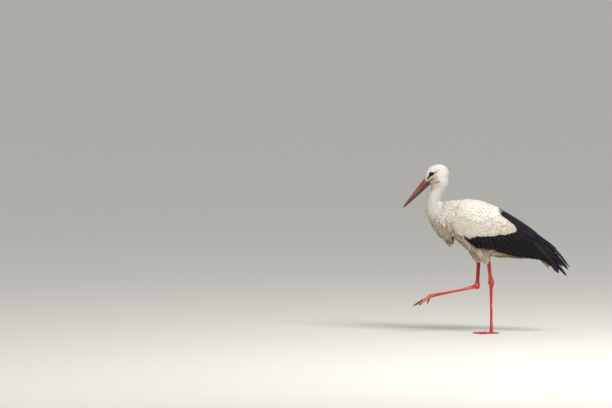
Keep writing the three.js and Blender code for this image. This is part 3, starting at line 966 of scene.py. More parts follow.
def joined_mesh(name, points, template, finish, marks, maps):
    """One mesh of many equal feathers. points (mm) has a row of vertices for each feather, and
    template one feather's faces. marks are numbers at the vertices, and maps are UV maps."""
    faces = (template[None] + (np.arange(len(points)) * points.shape[1])[:, None, None]).reshape(-1)
    sides = template.shape[1]
    mesh = bpy.data.meshes.new(name)
    mesh.vertices.add(points.size // 3)
    mesh.vertices.foreach_set("co", (points * MM).ravel())
    mesh.loops.add(len(faces))
    mesh.loops.foreach_set("vertex_index", faces)
    mesh.polygons.add(len(faces) // sides)
    mesh.polygons.foreach_set("loop_start", np.arange(0, len(faces), sides))
    mesh.update(calc_edges=True)
    finish_mesh(mesh, finish, marks)
    for key, values in maps.items():
        layer = mesh.uv_layers.new(name=key)
        layer.uv.foreach_set("vector", values.reshape(-1, 2)[faces].astype(np.float32).ravel())
    return placed(name, mesh)


def at_share(values, along):
    """Values that are given at equal steps of each midline, read at other shares of it."""
    last = values.shape[1] - 1
    low = np.minimum((along * last).astype(int), last - 1)
    part = (along * last - low)[..., None]
    row = np.arange(len(values)).reshape(-1, *[1] * (along.ndim - 1))
    return values[row, low] * (1 - part) + values[row, low + 1] * part


# %% Tufts
TUFT_STEPS = 4
TUFT_SWAY = 0.13
# A lock's rings, for two or three of them and the tip: their places along it, and their half widths.
LOCKS = {2: ([0.15, 0.78, 1.0], [0.9, 0.85, 0.0]), 3: ([0.0, 0.42, 0.8, 1.0], [0.6, 1.0, 0.62, 0.0])}


def side_lie(traits, sway):
    """Which way each feather points, with a little sway, as (x, z, y)."""
    turn = rng.normal(0, sway, len(traits))
    cos, sin = np.cos(turn), np.sin(turn)
    x, z = traits[:, [LIE_X, LIE_Z]].T / np.hypot(traits[:, LIE_X], traits[:, LIE_Z])
    return np.stack([x * cos - z * sin, x * sin + z * cos, rng.normal(0, 0.06, len(traits))], 1)


def lock_faces(rings):
    """The triangles of one closed lock with a three-sided section."""
    faces = [(0, 2, 1)]
    for ring in range(0, 3 * rings - 3, 3):
        for i, j in ((0, 1), (1, 2), (2, 0)):
            faces += [(ring + i, ring + j, ring + 3 + j), (ring + i, ring + 3 + j, ring + 3 + i)]
    last = 3 * rings - 3
    return np.array(faces + [(last + i, last + j, last + 3) for i, j in ((0, 1), (1, 2), (2, 0))])


def tufts(name, roots, traits, locks, rings=3, laid=None, stretch=(0.75, 1.25), ink_and_shade=0.0, spread=1.0,
          gather=0.0, round_tip=0.2, ridge=0.3, overlap=1.5, lift=0.0, jitter=0.25, fine=0.15, mottle=0.07):
    """Fans of locks on the hull, one fan for each root. stretch is the range of lengths. gather
    draws the tips of a fan together, lift and jitter raise whole fans, and fine raises single
    locks (mm)."""
    count = len(roots)
    if laid is None:
        length = traits[:, LENGTH] * rng.uniform(*stretch, count)
        laid = march(hull, roots, side_lie(traits, TUFT_SWAY), length, TUFT_STEPS)
    path, out, across = laid
    wide = traits[:, WIDTH] * rng.uniform(0.85, 1.15, count)
    half_way = path.shape[1] // 2
    probe = path[:, half_way] + across[:, half_way] * wide[:, None]
    foot, normal = hull.nearest(probe)
    curl = np.clip(((probe - foot) * normal).sum(1) / wide ** 2, 0, 0.03)[:, None, None]

    places, girths = (np.array(row) for row in LOCKS[rings])
    seat = np.linspace(-1, 1, locks)[None] + rng.normal(0, 0.35 / locks, (count, locks))
    reach = np.clip(1 - round_tip * seat ** 2 + rng.normal(-0.04, 0.06, (count, locks)), 0.45, 1)
    along = reach[:, :, None] * places
    centre, up, side = (at_share(values, along) for values in (path, out, across))
    fan = (0.3 + 0.7 * along ** 0.8) * spread * (1 - gather * along ** 2)
    off = seat[:, :, None] * wide[:, None, None] * fan
    rise = rng.normal(0, jitter, (count, 1, 1)) + (lift * rng.random(count))[:, None, None] * along ** 2
    rise = rise + rng.normal(0, fine, (count, locks, 1))
    depth = traits[:, DEPTH, None, None] * (1 - along) ** 1.4 + 0.5 + curl * off ** 2 - rise
    centre = centre + side * off[..., None] - up * depth[..., None]
    half = (wide / locks * overlap)[:, None, None] * girths * rng.uniform(0.8, 1.2, (count, locks, 1))
    c, s, u, h = centre[:, :, :rings], side[:, :, :rings], up[:, :, :rings], half[:, :, :rings, None]
    verts = np.stack([c - s * h, c + u * h * ridge, c + s * h], 3).reshape(count, locks, 3 * rings, 3)
    verts = np.concatenate([verts, centre[:, :, rings:]], 2)

    each = np.ones((count, locks, 3 * rings + 1))
    vert_along = np.concatenate([np.repeat(along[:, :, :rings], 3, 2), along[:, :, rings:]], 2)
    tone = 0.6 * rng.random((count, 1, 1)) + 0.4 * rng.random((count, locks, 1))
    soil_and_shade = np.clip(traits[:, SOIL_AND_SHADE] + rng.normal(0, mottle, count), 0, 1.2)
    marks = {"along": vert_along, "tone": tone * each, "soil_and_shade": soil_and_shade[:, None, None] * each,
             "ink_and_shade": (ink_and_shade + np.zeros(count))[:, None, None] * each}
    vert_side = np.concatenate([np.tile([0.0, 0.5, 1.0], rings), [0.5]])
    patch = np.stack([(vert_side + np.arange(locks)[:, None]) / locks * each - 0.5, vert_along - 0.5], -1)
    bake = unrolled(roots)[:, None, None] + PATCH * patch
    verts = verts.reshape(count * locks, -1, 3)
    return joined_mesh(name, verts, lock_faces(rings), white_down, marks, {"OFBake": bake})


# %% Vanes
FEW = 60


def vane_template(rings, columns):
    """Faces of one closed blade: top and bottom share their rim."""
    top = np.arange((rings + 1) * (columns + 1)).reshape(rings + 1, columns + 1)
    under = top.copy()
    under[1:-1, 1:-1] = top.size + np.arange((rings - 1) * (columns - 1)).reshape(rings - 1, columns - 1)
    quads = []
    for i, j in np.ndindex(rings, columns):
        quads.append((top[i, j], top[i, j + 1], top[i + 1, j + 1], top[i + 1, j]))
        quads.append((under[i, j], under[i + 1, j], under[i + 1, j + 1], under[i, j + 1]))
    return np.array(quads)


def outline(s, blunt):
    """A vane's half width along its shaft, as a share of the widest: slim root, rounded tip."""
    rise = ramp(s, 0, 0.3) ** 0.6
    fall = ramp(s, blunt, 1)
    return np.maximum(rise * np.sqrt(np.clip(1 - fall ** 2, 0, 1)), 0.06)


def vanes(name, surface, midlines, size, finish, root_depth, tip_depth, blunt=0.72, columns=8, tilt=0.0,
          thick=0.5, ragged=0.03, soil_and_shade=0.0, bloom=0.0, ink_and_shade=0.0, snap=True, camber=0.6, fray=0.0,
          round_tip=0.0, tip_share=0.06):
    """Blades along midlines. size is each one's half width. tilt lowers the +across side. fray
    ends each barb column at its own length, for the soft torn tip of a body feather."""
    path, out, across = midlines
    count, rings = path.shape[0], path.shape[1] - 1
    s = np.linspace(0, 1, rings + 1)
    c = np.linspace(-1, 1, columns + 1)
    shaft = np.abs(c) < 0.01

    def each(value):
        """One number for each blade, ready to meet its grid."""
        return (np.asarray(value, float) * np.ones(count))[:, None, None]

    width = np.maximum(outline(s, blunt), tip_share * (s > 0.5))
    share = np.broadcast_to(width[None, :, None], (count, rings + 1, columns + 1)).copy()
    notch = rng.random((count, rings + 1, 2)) * ragged * (s[None, :, None] > 0.35)
    share[:, :, [0, -1]] *= 1 - notch
    reach = 1 - round_tip * c ** 2 - fray * rng.random((count, columns + 1))
    along = s[None, :, None] * reach[:, None, :]
    relative = share * c
    off = each(size) * relative
    grid, up, side = (at_share(values, along) for values in (path, out, across))
    grid = grid + side * off[..., None]
    if snap:
        grid, up = surface.nearest(grid)
    depth = each(tip_depth) + (each(root_depth) - each(tip_depth)) * (1 - s[:, None]) ** 1.5
    depth = depth + camber * relative ** 2 + each(tilt) * relative - 0.25 * shaft
    middle = grid - up * depth[..., None]
    body = thick / 2 * (1 - 0.6 * s)[None, :, None, None] * (1 - c ** 2)[None, None, :, None]
    under = (middle - up * body)[:, 1:-1, 1:-1].reshape(count, -1, 3)
    verts = np.concatenate([(middle + up * body).reshape(count, -1, 3), under], 1)

    def at_vertices(values):
        """Values on the grid, given to top and underside alike."""
        values = np.broadcast_to(values, (count, rings + 1, columns + 1))
        return np.concatenate([values.reshape(count, -1), values[:, 1:-1, 1:-1].reshape(count, -1)], 1)

    tone = rng.random(count)
    marks = {"along": s[None, :, None], "tone": each(tone), "soil_and_shade": each(soil_and_shade), "ink_and_shade": each(ink_and_shade),
             "bloom": each(bloom) * np.clip(0.5 - c, 0, 1), "shaft": shaft * 1.0}
    marks = {key: at_vertices(values) for key, values in marks.items()}
    steps = np.linalg.norm(np.diff(path, axis=1), axis=2)
    run = np.concatenate([np.zeros((count, 1)), np.cumsum(steps, 1)], 1)[:, :, None]
    vane = np.stack([at_vertices(off), at_vertices(run + each(rng.random(count)) * 500)], -1)
    cells = math.ceil(math.sqrt(count))
    number = np.arange(count)
    spread, base = 0.9 / cells, np.stack([number % cells + 0.5, number // cells + 0.5], 1) / cells
    if count > FEW:
        spread, base = PATCH, unrolled(path[:, 0])
    bake = np.stack([at_vertices(c * 0.5), at_vertices((s - 0.5)[None, :, None])], -1)
    maps = {"vane": vane, "OFBake": base[:, None] + spread * bake}
    return joined_mesh(name, verts, vane_template(rings, columns), finish, marks, maps)


# %% [markdown]
# ## The coat of body feathers
# The head wears the smallest tufts, and none on the bare face. Down the neck they lengthen, and on
# the breast they hang in long loose points. The mantle wears broad tufts, and the wing's shoulder
# and coverts wear flat vanes with torn tips. Fine dark feathers mark the eye's corner, the gape and
# chin, and painted shade darkens a crease behind the eye and one across the throat.

# %% Head and neck
# Lines of fine dark feathers, and of painted shade in the creases behind the eye and across the
# throat, seen from the side: start, end, how far they reach, and how dark.
DARK_LINES_AND_SHADE = {
    "eye_corner": ((-263, 725), (-257, 729.5), 3.2, 1.0),
    # Painted shade in the crease behind the eye.
    "shade_behind_eye": ((-257, 729.5), (-244, 741.5), 2.6, 0.6),
    "gape": ((-269, 701.5), (-287, 689), 5.2, 1.0),
    "chin": ((-289, 688), (-282, 671), 7.5, 1.0),
    # Painted shade in the crease where the head meets the neck.
    "throat": ((-259, 683), (-241, 691), 4.6, 0.66),
}
x, y, z = face_middle.T


def dark_lines_and_shade(points):
    """How dark the feathers at each point are: dark markings, and painted shade in two creases."""
    return np.maximum.reduce([dark * near_line(points, *line) for *line, dark in DARK_LINES_AND_SHADE.values()])


def dress(name, chosen, crowd, locks, **style):
    """One coat of tufts on the chosen faces. What the style gives as a function depends on the roots."""
    roots = scatter(chosen, crowd)
    style = {key: value(roots) if callable(value) else value for key, value in style.items()}
    hand_over(tufts(name, roots, plumage_at(roots), locks, **style), "plumage_white")


SHORT_COAT = {"rings": 2, "ink_and_shade": dark_lines_and_shade, "ridge": 0.22}
lie_here = np.stack([face_traits[:, LIE_X], 0 * x, face_traits[:, LIE_Z]], 1)
feathered_head = is_from(face_owner, ["head"]) & (bare_face(face_middle + 2.2 * lie_here) < 0.5)
for part, chosen in (("face", x < -236), ("crown", x >= -236)):
    dress(f"coat_{part}", feathered_head & chosen, 1.35, 5, fine=0.05, jitter=0.12, overlap=1.6,
          **SHORT_COAT)
dress("coat_neck", is_from(face_owner, ["neck_upper", "neck_lower"]), 1.62, 5, spread=1.1, fine=0.08,
      jitter=0.2, mottle=0.1, **SHORT_COAT)

# %% Breast, belly and thighs
on_trunk = is_from(face_owner, ["trunk"])
breast = on_trunk & (x < -165) & (z < 575)
mantle = on_trunk & (z > 540) & ~breast


def breast_lift(roots):
    """The breast's feathers lie ever looser downwards."""
    return 1.0 + 3.5 * ramp(roots[:, 2], 560, 470)


def belly_lift(roots):
    """The belly's feathers lie close, except at the vent."""
    return 1.5 + 11 * ramp(roots[:, 0], -10, 30) * ramp(roots[:, 2], 370, 350)


dress("coat_breast", breast, 1.2, 4, stretch=(0.7, 1.35), spread=1.35, gather=0.55, round_tip=0.3,
      lift=breast_lift, jitter=0.8, mottle=0.24, overlap=1.3)
dress("coat_belly", on_trunk & ~breast & ~mantle, 1.1, 5, spread=1.1, gather=0.3, lift=belly_lift,
      jitter=0.6, mottle=0.16)
dress("coat_mantle", mantle, 1.25, 7, stretch=(0.6, 1.5), round_tip=0.3, ridge=0.16, fine=0.08, overlap=1.7,
      lift=2.4)
dress("coat_thighs", is_from(face_owner, THIGHS), 1.15, 4, spread=1.1, gather=0.2, lift=1.2, jitter=0.5,
      mottle=0.14)

# %% Loose hanging feathers
TUFT_TIPS = np.array([(-185, 393), (-183, 399), (-170, 411), (-200, 404), (-172, 409)], float)
VENT_LINE = np.array([(-10, 335), (30, 342), (55, 339), (85, 343), (105, 339), (140, 336), (197, 332),
                      (215, 326), (231, 316), (250, 308), (264, 302)], float)


def across_from(path, out):
    """The sideways directions that belong to midlines and their outward directions."""
    return unit(np.cross(out, np.gradient(path, axis=1)))


def hanging(name, chosen, crowd, goal_of, sag, locks=3):
    """Long feathers that leave the hull and hang freely to their goals."""
    roots = scatter(chosen, crowd)
    foot, normal = hull.nearest(roots)
    goal = goal_of(foot)
    bend = (foot + goal) / 2 + sag
    t = np.linspace(0, 1, 6)[:, None]
    path = foot[:, None] * (1 - t) ** 2 + bend[:, None] * 2 * t * (1 - t) + goal[:, None] * t ** 2
    out = np.broadcast_to(normal[:, None], path.shape)
    laid = path, out, across_from(path, out)
    coat = tufts(name, foot, plumage_at(roots), locks, laid=laid, gather=0.5, mottle=0.2)
    hand_over(coat, "plumage_white")


def tuft_goals(foot):
    """Below the breast the tips gather in a few points."""
    count = len(foot)
    goal = TUFT_TIPS[rng.integers(0, len(TUFT_TIPS), count)] + rng.normal(0, 3.0, (count, 2)) + (0, 2)
    return np.stack([goal[:, 0], foot[:, 1] * 0.45 + rng.normal(0, 3, count), goal[:, 1]], 1)


def vent_goals(foot):
    """Behind the legs they hang to a ragged line."""
    count = len(foot)
    end_x = np.minimum(foot[:, 0] + rng.uniform(28, 52, count), 262)
    end_z = np.interp(end_x, *VENT_LINE.T) + rng.triangular(-4, 1, 12, count)
    return np.stack([end_x, foot[:, 1] * 0.95, end_z], 1)


below_breast = breast & (x > -226) & (x < -176) & (z < 446) & (np.abs(y) < 30)
hanging("coat_breast_tuft", below_breast, 1.4, tuft_goals, (-3, 0, -3))
under = (hull.normals[:, 2] < -0.5) & (z < 352)
hanging("coat_vent", on_trunk & under & (x > -2) & (x < 150), 0.95, vent_goals, (0, 0, -2), 4)

# %% Shoulder and wing coverts
# The rear edge of the white shoulder, as z and x.
BACK_BAND = np.array([(440, 112), (458, 118), (468, 119), (480, 105), (500, 84), (520, 66), (534, 44),
                      (545, 30), (553, 34)], float)
SCAPULAR_EDGE = ((-78, 547), (22, 526), 12)
PARTING = ((-78, 549), (22, 527), 5.0)
PARTING_SHADE = 0.5
SHOULDER_SWAY = 0.12
EDGE_PROUD = 1.2
REAR_SUNK = 3.0


def drawn_back(roots, lie, length, line, over):
    """Moves back the feathers whose tips would pass a line by more than over."""
    tips = roots + lie * length[:, None]
    rate = np.maximum((line(tips) - line(roots)) / length, 0.25)
    return roots - lie * np.clip((line(tips) - over) / rate, 0, 0.8 * length)[:, None]


def behind_band(points):
    """How far behind the white shoulder's rear edge each point lies, seen from the side (mm)."""
    return points[:, 0] - np.interp(points[:, 2], *BACK_BAND.T)


def shoulder_coat(part, side, crowd):
    """The scapulars or the coverts of one wing."""
    node = f"wing_{side}_{part}"
    inside = (behind_band(face_middle) < -4) & (below_fringe(face_middle) < -2)
    roots = scatter(is_from(face_owner, [node]) & inside, crowd)
    here = plumage_at(roots)
    count = len(roots)
    lie = side_lie(here, SHOULDER_SWAY)
    length = here[:, LENGTH] * rng.uniform(0.85, 1.25, count)
    flat = lie[:, [0, 2, 1]] * (1, 0, 1)
    past_fringe = rng.triangular(-14, -7, 4, count) - 4.5 * ramp(roots[:, 0], -90, -50)
    roots = drawn_back(roots, flat, length, below_fringe, past_fringe)
    roots = drawn_back(roots, flat, length, behind_band, rng.uniform(-2, 3, count))
    midlines = march(hull, roots, lie, length, 6)
    tips = midlines[0][:, -1]
    # The scapulars' edge stands a little proud of the coverts, and a painted shadow darkens the coverts'
    # tips under it.
    proud = EDGE_PROUD * (part == "scapulars") * near_line(tips, *SCAPULAR_EDGE)
    ink_and_shade = PARTING_SHADE * (part == "coverts") * near_line(tips, *PARTING)
    sunk = REAR_SUNK * ramp(tips[:, 0], 40, 65) * (tips[:, 2] > 515)
    tip_depth = rng.uniform(0.05, 0.35, count) + sunk - proud
    size = here[:, WIDTH] * rng.uniform(0.85, 1.15, count)
    soil_and_shade = np.clip(here[:, SOIL_AND_SHADE] + rng.normal(0, 0.05, count), 0, 1)
    coat = vanes(f"coat_{part}_{side}", hull, midlines, size, white_vanes[part], 1.0, tip_depth, blunt=0.86,
                 thick=0.15, ragged=0.12, soil_and_shade=soil_and_shade, camber=0.2, fray=0.15, round_tip=0.3, tip_share=0.62,
                 ink_and_shade=ink_and_shade)
    hand_over(coat, "plumage_white", node)


for side in SIDES:
    shoulder_coat("coverts", side, 1.2)
    shoulder_coat("scapulars", side, 1.15)

# %% [markdown]
# ## Flight feathers
# The black feathers are long enough to be placed one by one. The secondaries hang from the forearm
# in a row, each over the one in front of it, and their tips draw the wing's lower edge. The
# tertials lie over the back, and the primaries of the folded hand stick out behind, under both.
# Each is given by its tip and the angle it hangs at, or by its midline seen from the side or from
# above, and is laid on the wing's hull.

# %% Feather rows
ROW_SAG = 6.0
LONGEST = 300.0
STIFF_FROM = 0.55


def on_side(x, z, sign):
    """The wing's outer surface at a place seen from the side."""
    return wing.hit((x, sign * 300.0, z), (0, -sign, 0))


def from_above(x, y):
    """The wing's upper surface at a place seen from above."""
    return wing.hit((x, y, 900.0), (0, 0, -1))


def laid_on_wing(path):
    """Midlines moved on to the wing's surface, with their outward and sideways directions."""
    foot, out = wing.nearest(np.array(path))
    return foot, out, across_from(foot, out)


def hung_row(tips, angles, sign, starts_above, steps):
    """Midlines from above the fringe down to each tip, laid on the side of the wing."""
    shares = np.linspace(0, 1, steps + 1)
    reach = np.arange(20.0, LONGEST, 2.0)
    paths = []
    for tip, angle, above in zip(tips, angles, starts_above * np.ones(len(tips))):
        tip = np.array([tip[0], 0, tip[1]])
        direction = np.array([math.cos(angle), 0, -math.sin(angle)])
        hidden = np.flatnonzero(below_fringe(tip - direction * reach[:, None]) < -above)
        length = reach[hidden[0]] if len(hidden) else LONGEST
        places = [tip - direction * length * (1 - t) for t in shares]
        sag = ROW_SAG * np.sin(math.pi * shares)
        paths.append([on_side(p[0], p[2] + s, sign) for p, s in zip(places, sag)])
    return laid_on_wing(paths)


def side_path(trail, sign):
    """A midline at these places seen from the side, its distance from the bird's middle smoothed."""
    level = np.array([on_side(px, pz, sign)[1] for px, pz in trail])
    for _ in range(3):
        level[1:-1] = (level[:-2] + 2 * level[1:-1] + level[2:]) / 4
    return [(px, y, pz) for (px, pz), y in zip(trail, level)]


def stiff_row(trails, sign):
    """Midlines of stiff feathers, which stop turning from a share of their length onwards."""
    path = np.array([side_path(trail, sign) for trail in trails])
    out = wing.nearest(path)[1]
    last = int(STIFF_FROM * (out.shape[1] - 1))
    out[:, last + 1:] = out[:, last:last + 1]
    return path, out, across_from(path, out)


def along_line(line, shares):
    """Places at these shares of a line's length."""
    line = np.array(line, float)
    gaps = np.linalg.norm(np.diff(line, axis=0), axis=1)
    run = np.concatenate([[0], np.cumsum(gaps)]) / gaps.sum()
    return np.stack([np.interp(shares, run, line[:, k]) for k in (0, 1)], 1)


def black_row(name, midlines, size, root_depth, tip_depth, *nodes_shown, **shape):
    """One finished row of black feathers."""
    row = vanes(name, wing, midlines, size, black_vane, root_depth, tip_depth, **shape)
    hand_over(row, "flight_feathers_black", *nodes_shown)


# %% Secondaries and their coverts
SECONDARIES = 20
GREATER_COVERTS = 15
LOWER_EDGE = ((-119, 432), (-109, 421), (-94, 405), (-79, 389), (-57, 384), (-31, 387), (7, 384), (25, 373),
              (42, 364), (72, 354), (115, 346), (154, 341), (190, 337), (236, 331), (262, 306))
for side, sign in SIDES.items():
    count = SECONDARIES
    shares = np.linspace(0.0, 1.0, count)
    angles = np.interp(shares, [0, 0.1, 0.2, 0.55, 1], [42, 48, 56, 52, 43]) + rng.uniform(-1.5, 1.5, count)
    starts = np.interp(shares, [0, 0.04, 0.16], [-4, 2, 16])
    midlines = hung_row(along_line(LOWER_EDGE, shares), np.radians(angles), sign, starts, 18)
    size = np.interp(shares, [0, 0.12, 0.3, 1], [4.5, 9, 13, 16]) * rng.uniform(0.95, 1.05, count)
    layer = np.interp(shares, [0, 0.15, 0.3, 1], [-0.8, 0.4, 1.6, 2.2]) + rng.uniform(-0.2, 0.2, count)
    black_row(f"secondaries_{side}", midlines, size, layer + 2.5, layer, f"wing_{side}_secondaries",
              blunt=0.8, tilt=1.2 * sign, thick=0.7, bloom=rng.uniform(0.5, 1, count))

    count = GREATER_COVERTS
    shares = np.linspace(0.0, 1.0, count)
    tip_z = np.interp(shares, [0, 0.25, 1], [434, 446, 466]) - np.interp(shares, [0, 0.2, 1], [10, 32, 40])
    tip_z += rng.uniform(-6, 5, count)
    tip_x = np.linspace(-118, 118, count) + np.interp(shares, [0, 1], [10, 30]) + rng.uniform(-3, 3, count)
    angles = np.radians(np.interp(shares, [0, 1], [60, 47]))
    midlines = hung_row(np.stack([tip_x, tip_z], 1), angles, sign, 18, 12)
    black_row(f"black_coverts_{side}", midlines, rng.uniform(9, 12, count), 3.0, 1.4, blunt=0.7, columns=6,
              tilt=1.0 * sign, thick=0.6, ragged=0.04, bloom=rng.uniform(0.3, 0.8, count))

# %% Tertials and primaries
# Tertials over the back: how high their tip lies between the lower line and the back, the tip's
# x, and the half width. Then the long ones, which lie lowest and are broad to their round ends.
TERTIAL_START = 18
TERTIALS = np.array([(0.3, 196, 13), (0.46, 201, 12), (0.62, 205, 11), (0.78, 206, 10), (0.93, 203, 9)])
TERTIAL_LOW = np.array([(20, 545), (34, 534), (68, 516), (122, 468), (172, 432), (216, 408), (260, 372)])
LONG_TERTIALS = (((40, 524), (128, 462), (205, 390), (262, 330), (281, 300)),
                 ((44, 528), (135, 468), (212, 402), (268, 336), (300, 276)))
PRIMARIES = (((118, 455), (180, 420), (240, 370), (285, 322), (315, 290), (339, 261)),
             ((118, 460), (180, 428), (240, 385), (285, 345), (322, 303)),
             ((118, 470), (175, 440), (235, 404), (280, 366), (315, 328), (347, 290)),
             ((118, 478), (180, 452), (236, 424), (283, 388), (316, 351), (338, 320), (352, 302)))
STEP_TIPS = np.array([(303, 352), (281, 372), (258, 388), (237, 408)], float)
STEP_START = np.array([118.0, 452])
STEP_LEVEL = 330


def tertial_path(height, tip_x, sign):
    """A tertial's midline over the back."""
    trail = []
    for px in np.linspace(TERTIAL_START, tip_x, 17):
        low, top = np.interp(px, *TERTIAL_LOW.T), from_above(px, sign * 5.0)[2]
        trail.append(on_side(px, low + height * (top - 2 - low), sign))
    return trail


def step_trail(tip):
    """A shorter primary, bowed upwards, seen from the side."""
    rise = np.array([0, tip[1] - STEP_LEVEL])
    start = STEP_START + 0.25 * rise
    t = np.linspace(0, 1, 19)[:, None]
    return start + (tip - start) * t + 0.1 * rise * np.sin(math.pi * t)


for side, sign in SIDES.items():
    midlines = laid_on_wing([tertial_path(height, tip_x, sign) for height, tip_x, _ in TERTIALS])
    count = len(TERTIALS)
    black_row(f"tertials_{side}", midlines, TERTIALS[:, 2], 3.0, np.linspace(0.6, 0.0, count),
              f"wing_{side}_tertials", blunt=0.82, tilt=1.0 * sign, thick=0.9,
              bloom=rng.uniform(0.5, 1.0, count))

    midlines = stiff_row([along_line(line, np.linspace(0, 1, 21)) for line in LONG_TERTIALS], sign)
    black_row(f"long_tertials_{side}", midlines, (15.0, 16.0), 3.5, (1.8, 1.2), blunt=0.86, columns=10,
              tilt=0.8 * sign, thick=1.0, ragged=0.02, bloom=(0.9, 1.3), snap=False)

    trails = [along_line(line, np.linspace(0, 1, 19)) for line in PRIMARIES]
    trails += [step_trail(tip) for tip in STEP_TIPS]
    depth = np.array([3.0] * len(PRIMARIES) + [1.6] * len(STEP_TIPS)) + rng.uniform(-0.3, 0.3, len(trails))
    size = (8.0, 9.5, 9.5, 9.5) + (8.0,) * len(STEP_TIPS)
    black_row(f"primaries_{side}", stiff_row(trails, sign), size, 6.5, depth, f"wing_{side}_primaries",
              blunt=0.7, tilt=0.9 * sign, thick=0.8, bloom=rng.uniform(0.3, 1.1, len(trails)), snap=False)

# %% Inner tertials
# The innermost feathers of both wings meet over the middle of the back. Each row: how far from the
# middle it starts, where it starts and ends along the bird, its half width and its depth at the tip.
INNER_TERTIALS = np.array([(-10, 200, 296, 11, 2.6), (10, 200, 292, 11, 2.6), (-21, 120, 262, 12, 1.8),
                           (21, 120, 258, 12, 1.8), (0, 120, 276, 11, 1.2), (-24, 14, 196, 10, 0.6),
                           (24, 14, 199, 10, 0.6), (-8, 14, 204, 10, 0.4), (9, 14, 207, 10, 0.2)])
shares = np.linspace(0, 1, 17)
midlines = laid_on_wing([[from_above(start + (end - start) * t, off * (1 - 0.45 * t)) for t in shares]
                         for off, start, end, _, _ in INNER_TERTIALS])
size, depth = INNER_TERTIALS[:, 3:].T
black_row("inner_tertials", midlines, size, depth + 2.6, depth, blunt=0.82, thick=0.9,
          bloom=rng.uniform(0.5, 1.0, len(size)))

# %% [markdown]
# ## Tail
# The tail is white and mostly hidden by the folded wings. It has twelve feathers, the middle pair
# on top, and long buff feathers cover its root from below.

# %% Tail feathers
TAIL_SPINE = np.array([(150, 388), (205, 352), (262, 297)], float)
TAIL_FEATHERS = 12
t = np.linspace(0, 1, 13)
spine_x, spine_z = (np.interp(t, [0, 0.5, 1], row) for row in TAIL_SPINE.T)
fan = ((np.arange(TAIL_FEATHERS) + 0.5) / TAIL_FEATHERS * 2 - 1)[:, None]
arch = (1 - np.abs(fan)) * 3.0 - 7.5 * fan ** 2
path = np.stack([spine_x - 6 * fan ** 2 * t, fan * (8 + 18 * t), spine_z + arch * (0.4 + 0.6 * t)], 2)
tangent = unit(np.gradient(path, axis=1))
across = np.cross(np.cross(tangent, [0, 1, 0]), tangent)
across *= -np.sign(across[..., 1:2])
midlines = path, np.cross(tangent, across), across
row = vanes("tail_feathers", wing, midlines, 8.5, white_vanes["coverts"], 0.5, 0.0, blunt=0.75, columns=6,
            thick=0.7, ragged=0.05, snap=False, camber=0.8, soil_and_shade=0.5)
hand_over(row, "plumage_white", "tail")
on_tail = is_from(face_owner, ["tail"])
hanging("coat_undertail", on_tail & (hull.normals[:, 2] < 0.1) & (x < 232), 0.95, vent_goals, (0, 0, -1), 5)

# %% [markdown]
# ## Bill
# The bill is a long straight cone in two halves, red-brown horn with streaks along it, dark at the
# tip. Each half is drawn as rings along its length, with quads between them and both ends closed.
# A slit on each side of the upper half is the nostril.

# %% Mandibles
BILL_BASE = np.array([-290.0, 0, 686])
BILL_TIP = np.array([-399.0, 0, 568])
BILL_LENGTH = np.linalg.norm(BILL_TIP - BILL_BASE)
BILL_AXIS = (BILL_TIP - BILL_BASE) / BILL_LENGTH
BILL_UP = np.array([BILL_AXIS[2], 0, -BILL_AXIS[0]])
STATIONS = [-0.12, 0.0, 0.25, 0.5, 0.9, 1.0]
HALF_WIDTH = [13.5, 13.5, 11.2, 8.6, 2.7, 0.9]
HALF_DEPTH = [18, 18, 15.2, 12.0, 4.4, 1.2]
TOMIUM = [-2.9, -2.9, -2.3, -1.6, -0.4, 0.0]
BILL_RINGS = 110
RING_SIDES = 36
GAPE_GAP = 0.35
NOSTRIL_START, NOSTRIL_LENGTH, NOSTRIL_SINK = 0.12, 0.085, 1.6
NOSTRIL_MIDDLE, NOSTRIL_HEIGHT = 0.164, 0.47
# Each half: which way it goes from the gape, how round it is, its width there and how it narrows.
HALVES = {"upper": (1, 1.15, 1.0, 0.42, 2.2), "lower": (-1, 1.1, 0.94, 0.35, 2)}


def ring_angles(sides):
    """The angles of a ring's points, from its top."""
    return math.pi / 2 + math.tau * np.arange(sides) / sides


def lofted(name, rings, finish, marks=None):
    """A closed skin over rings of points (mm): quads between them, and a lid on each end."""
    shape = bmesh.new()
    loops = [[shape.verts.new(p) for p in ring] for ring in (rings * MM).tolist()]
    for near, far in zip(loops, loops[1:]):
        for i in range(len(near)):
            shape.faces.new((near[i - 1], near[i], far[i], far[i - 1]))
    shape.faces.new(loops[0])
    shape.faces.new(loops[-1])
    bmesh.ops.recalc_face_normals(shape, faces=shape.faces)
    thing = new_object(name, shape)
    finish_mesh(thing.data, finish, marks)
    return thing


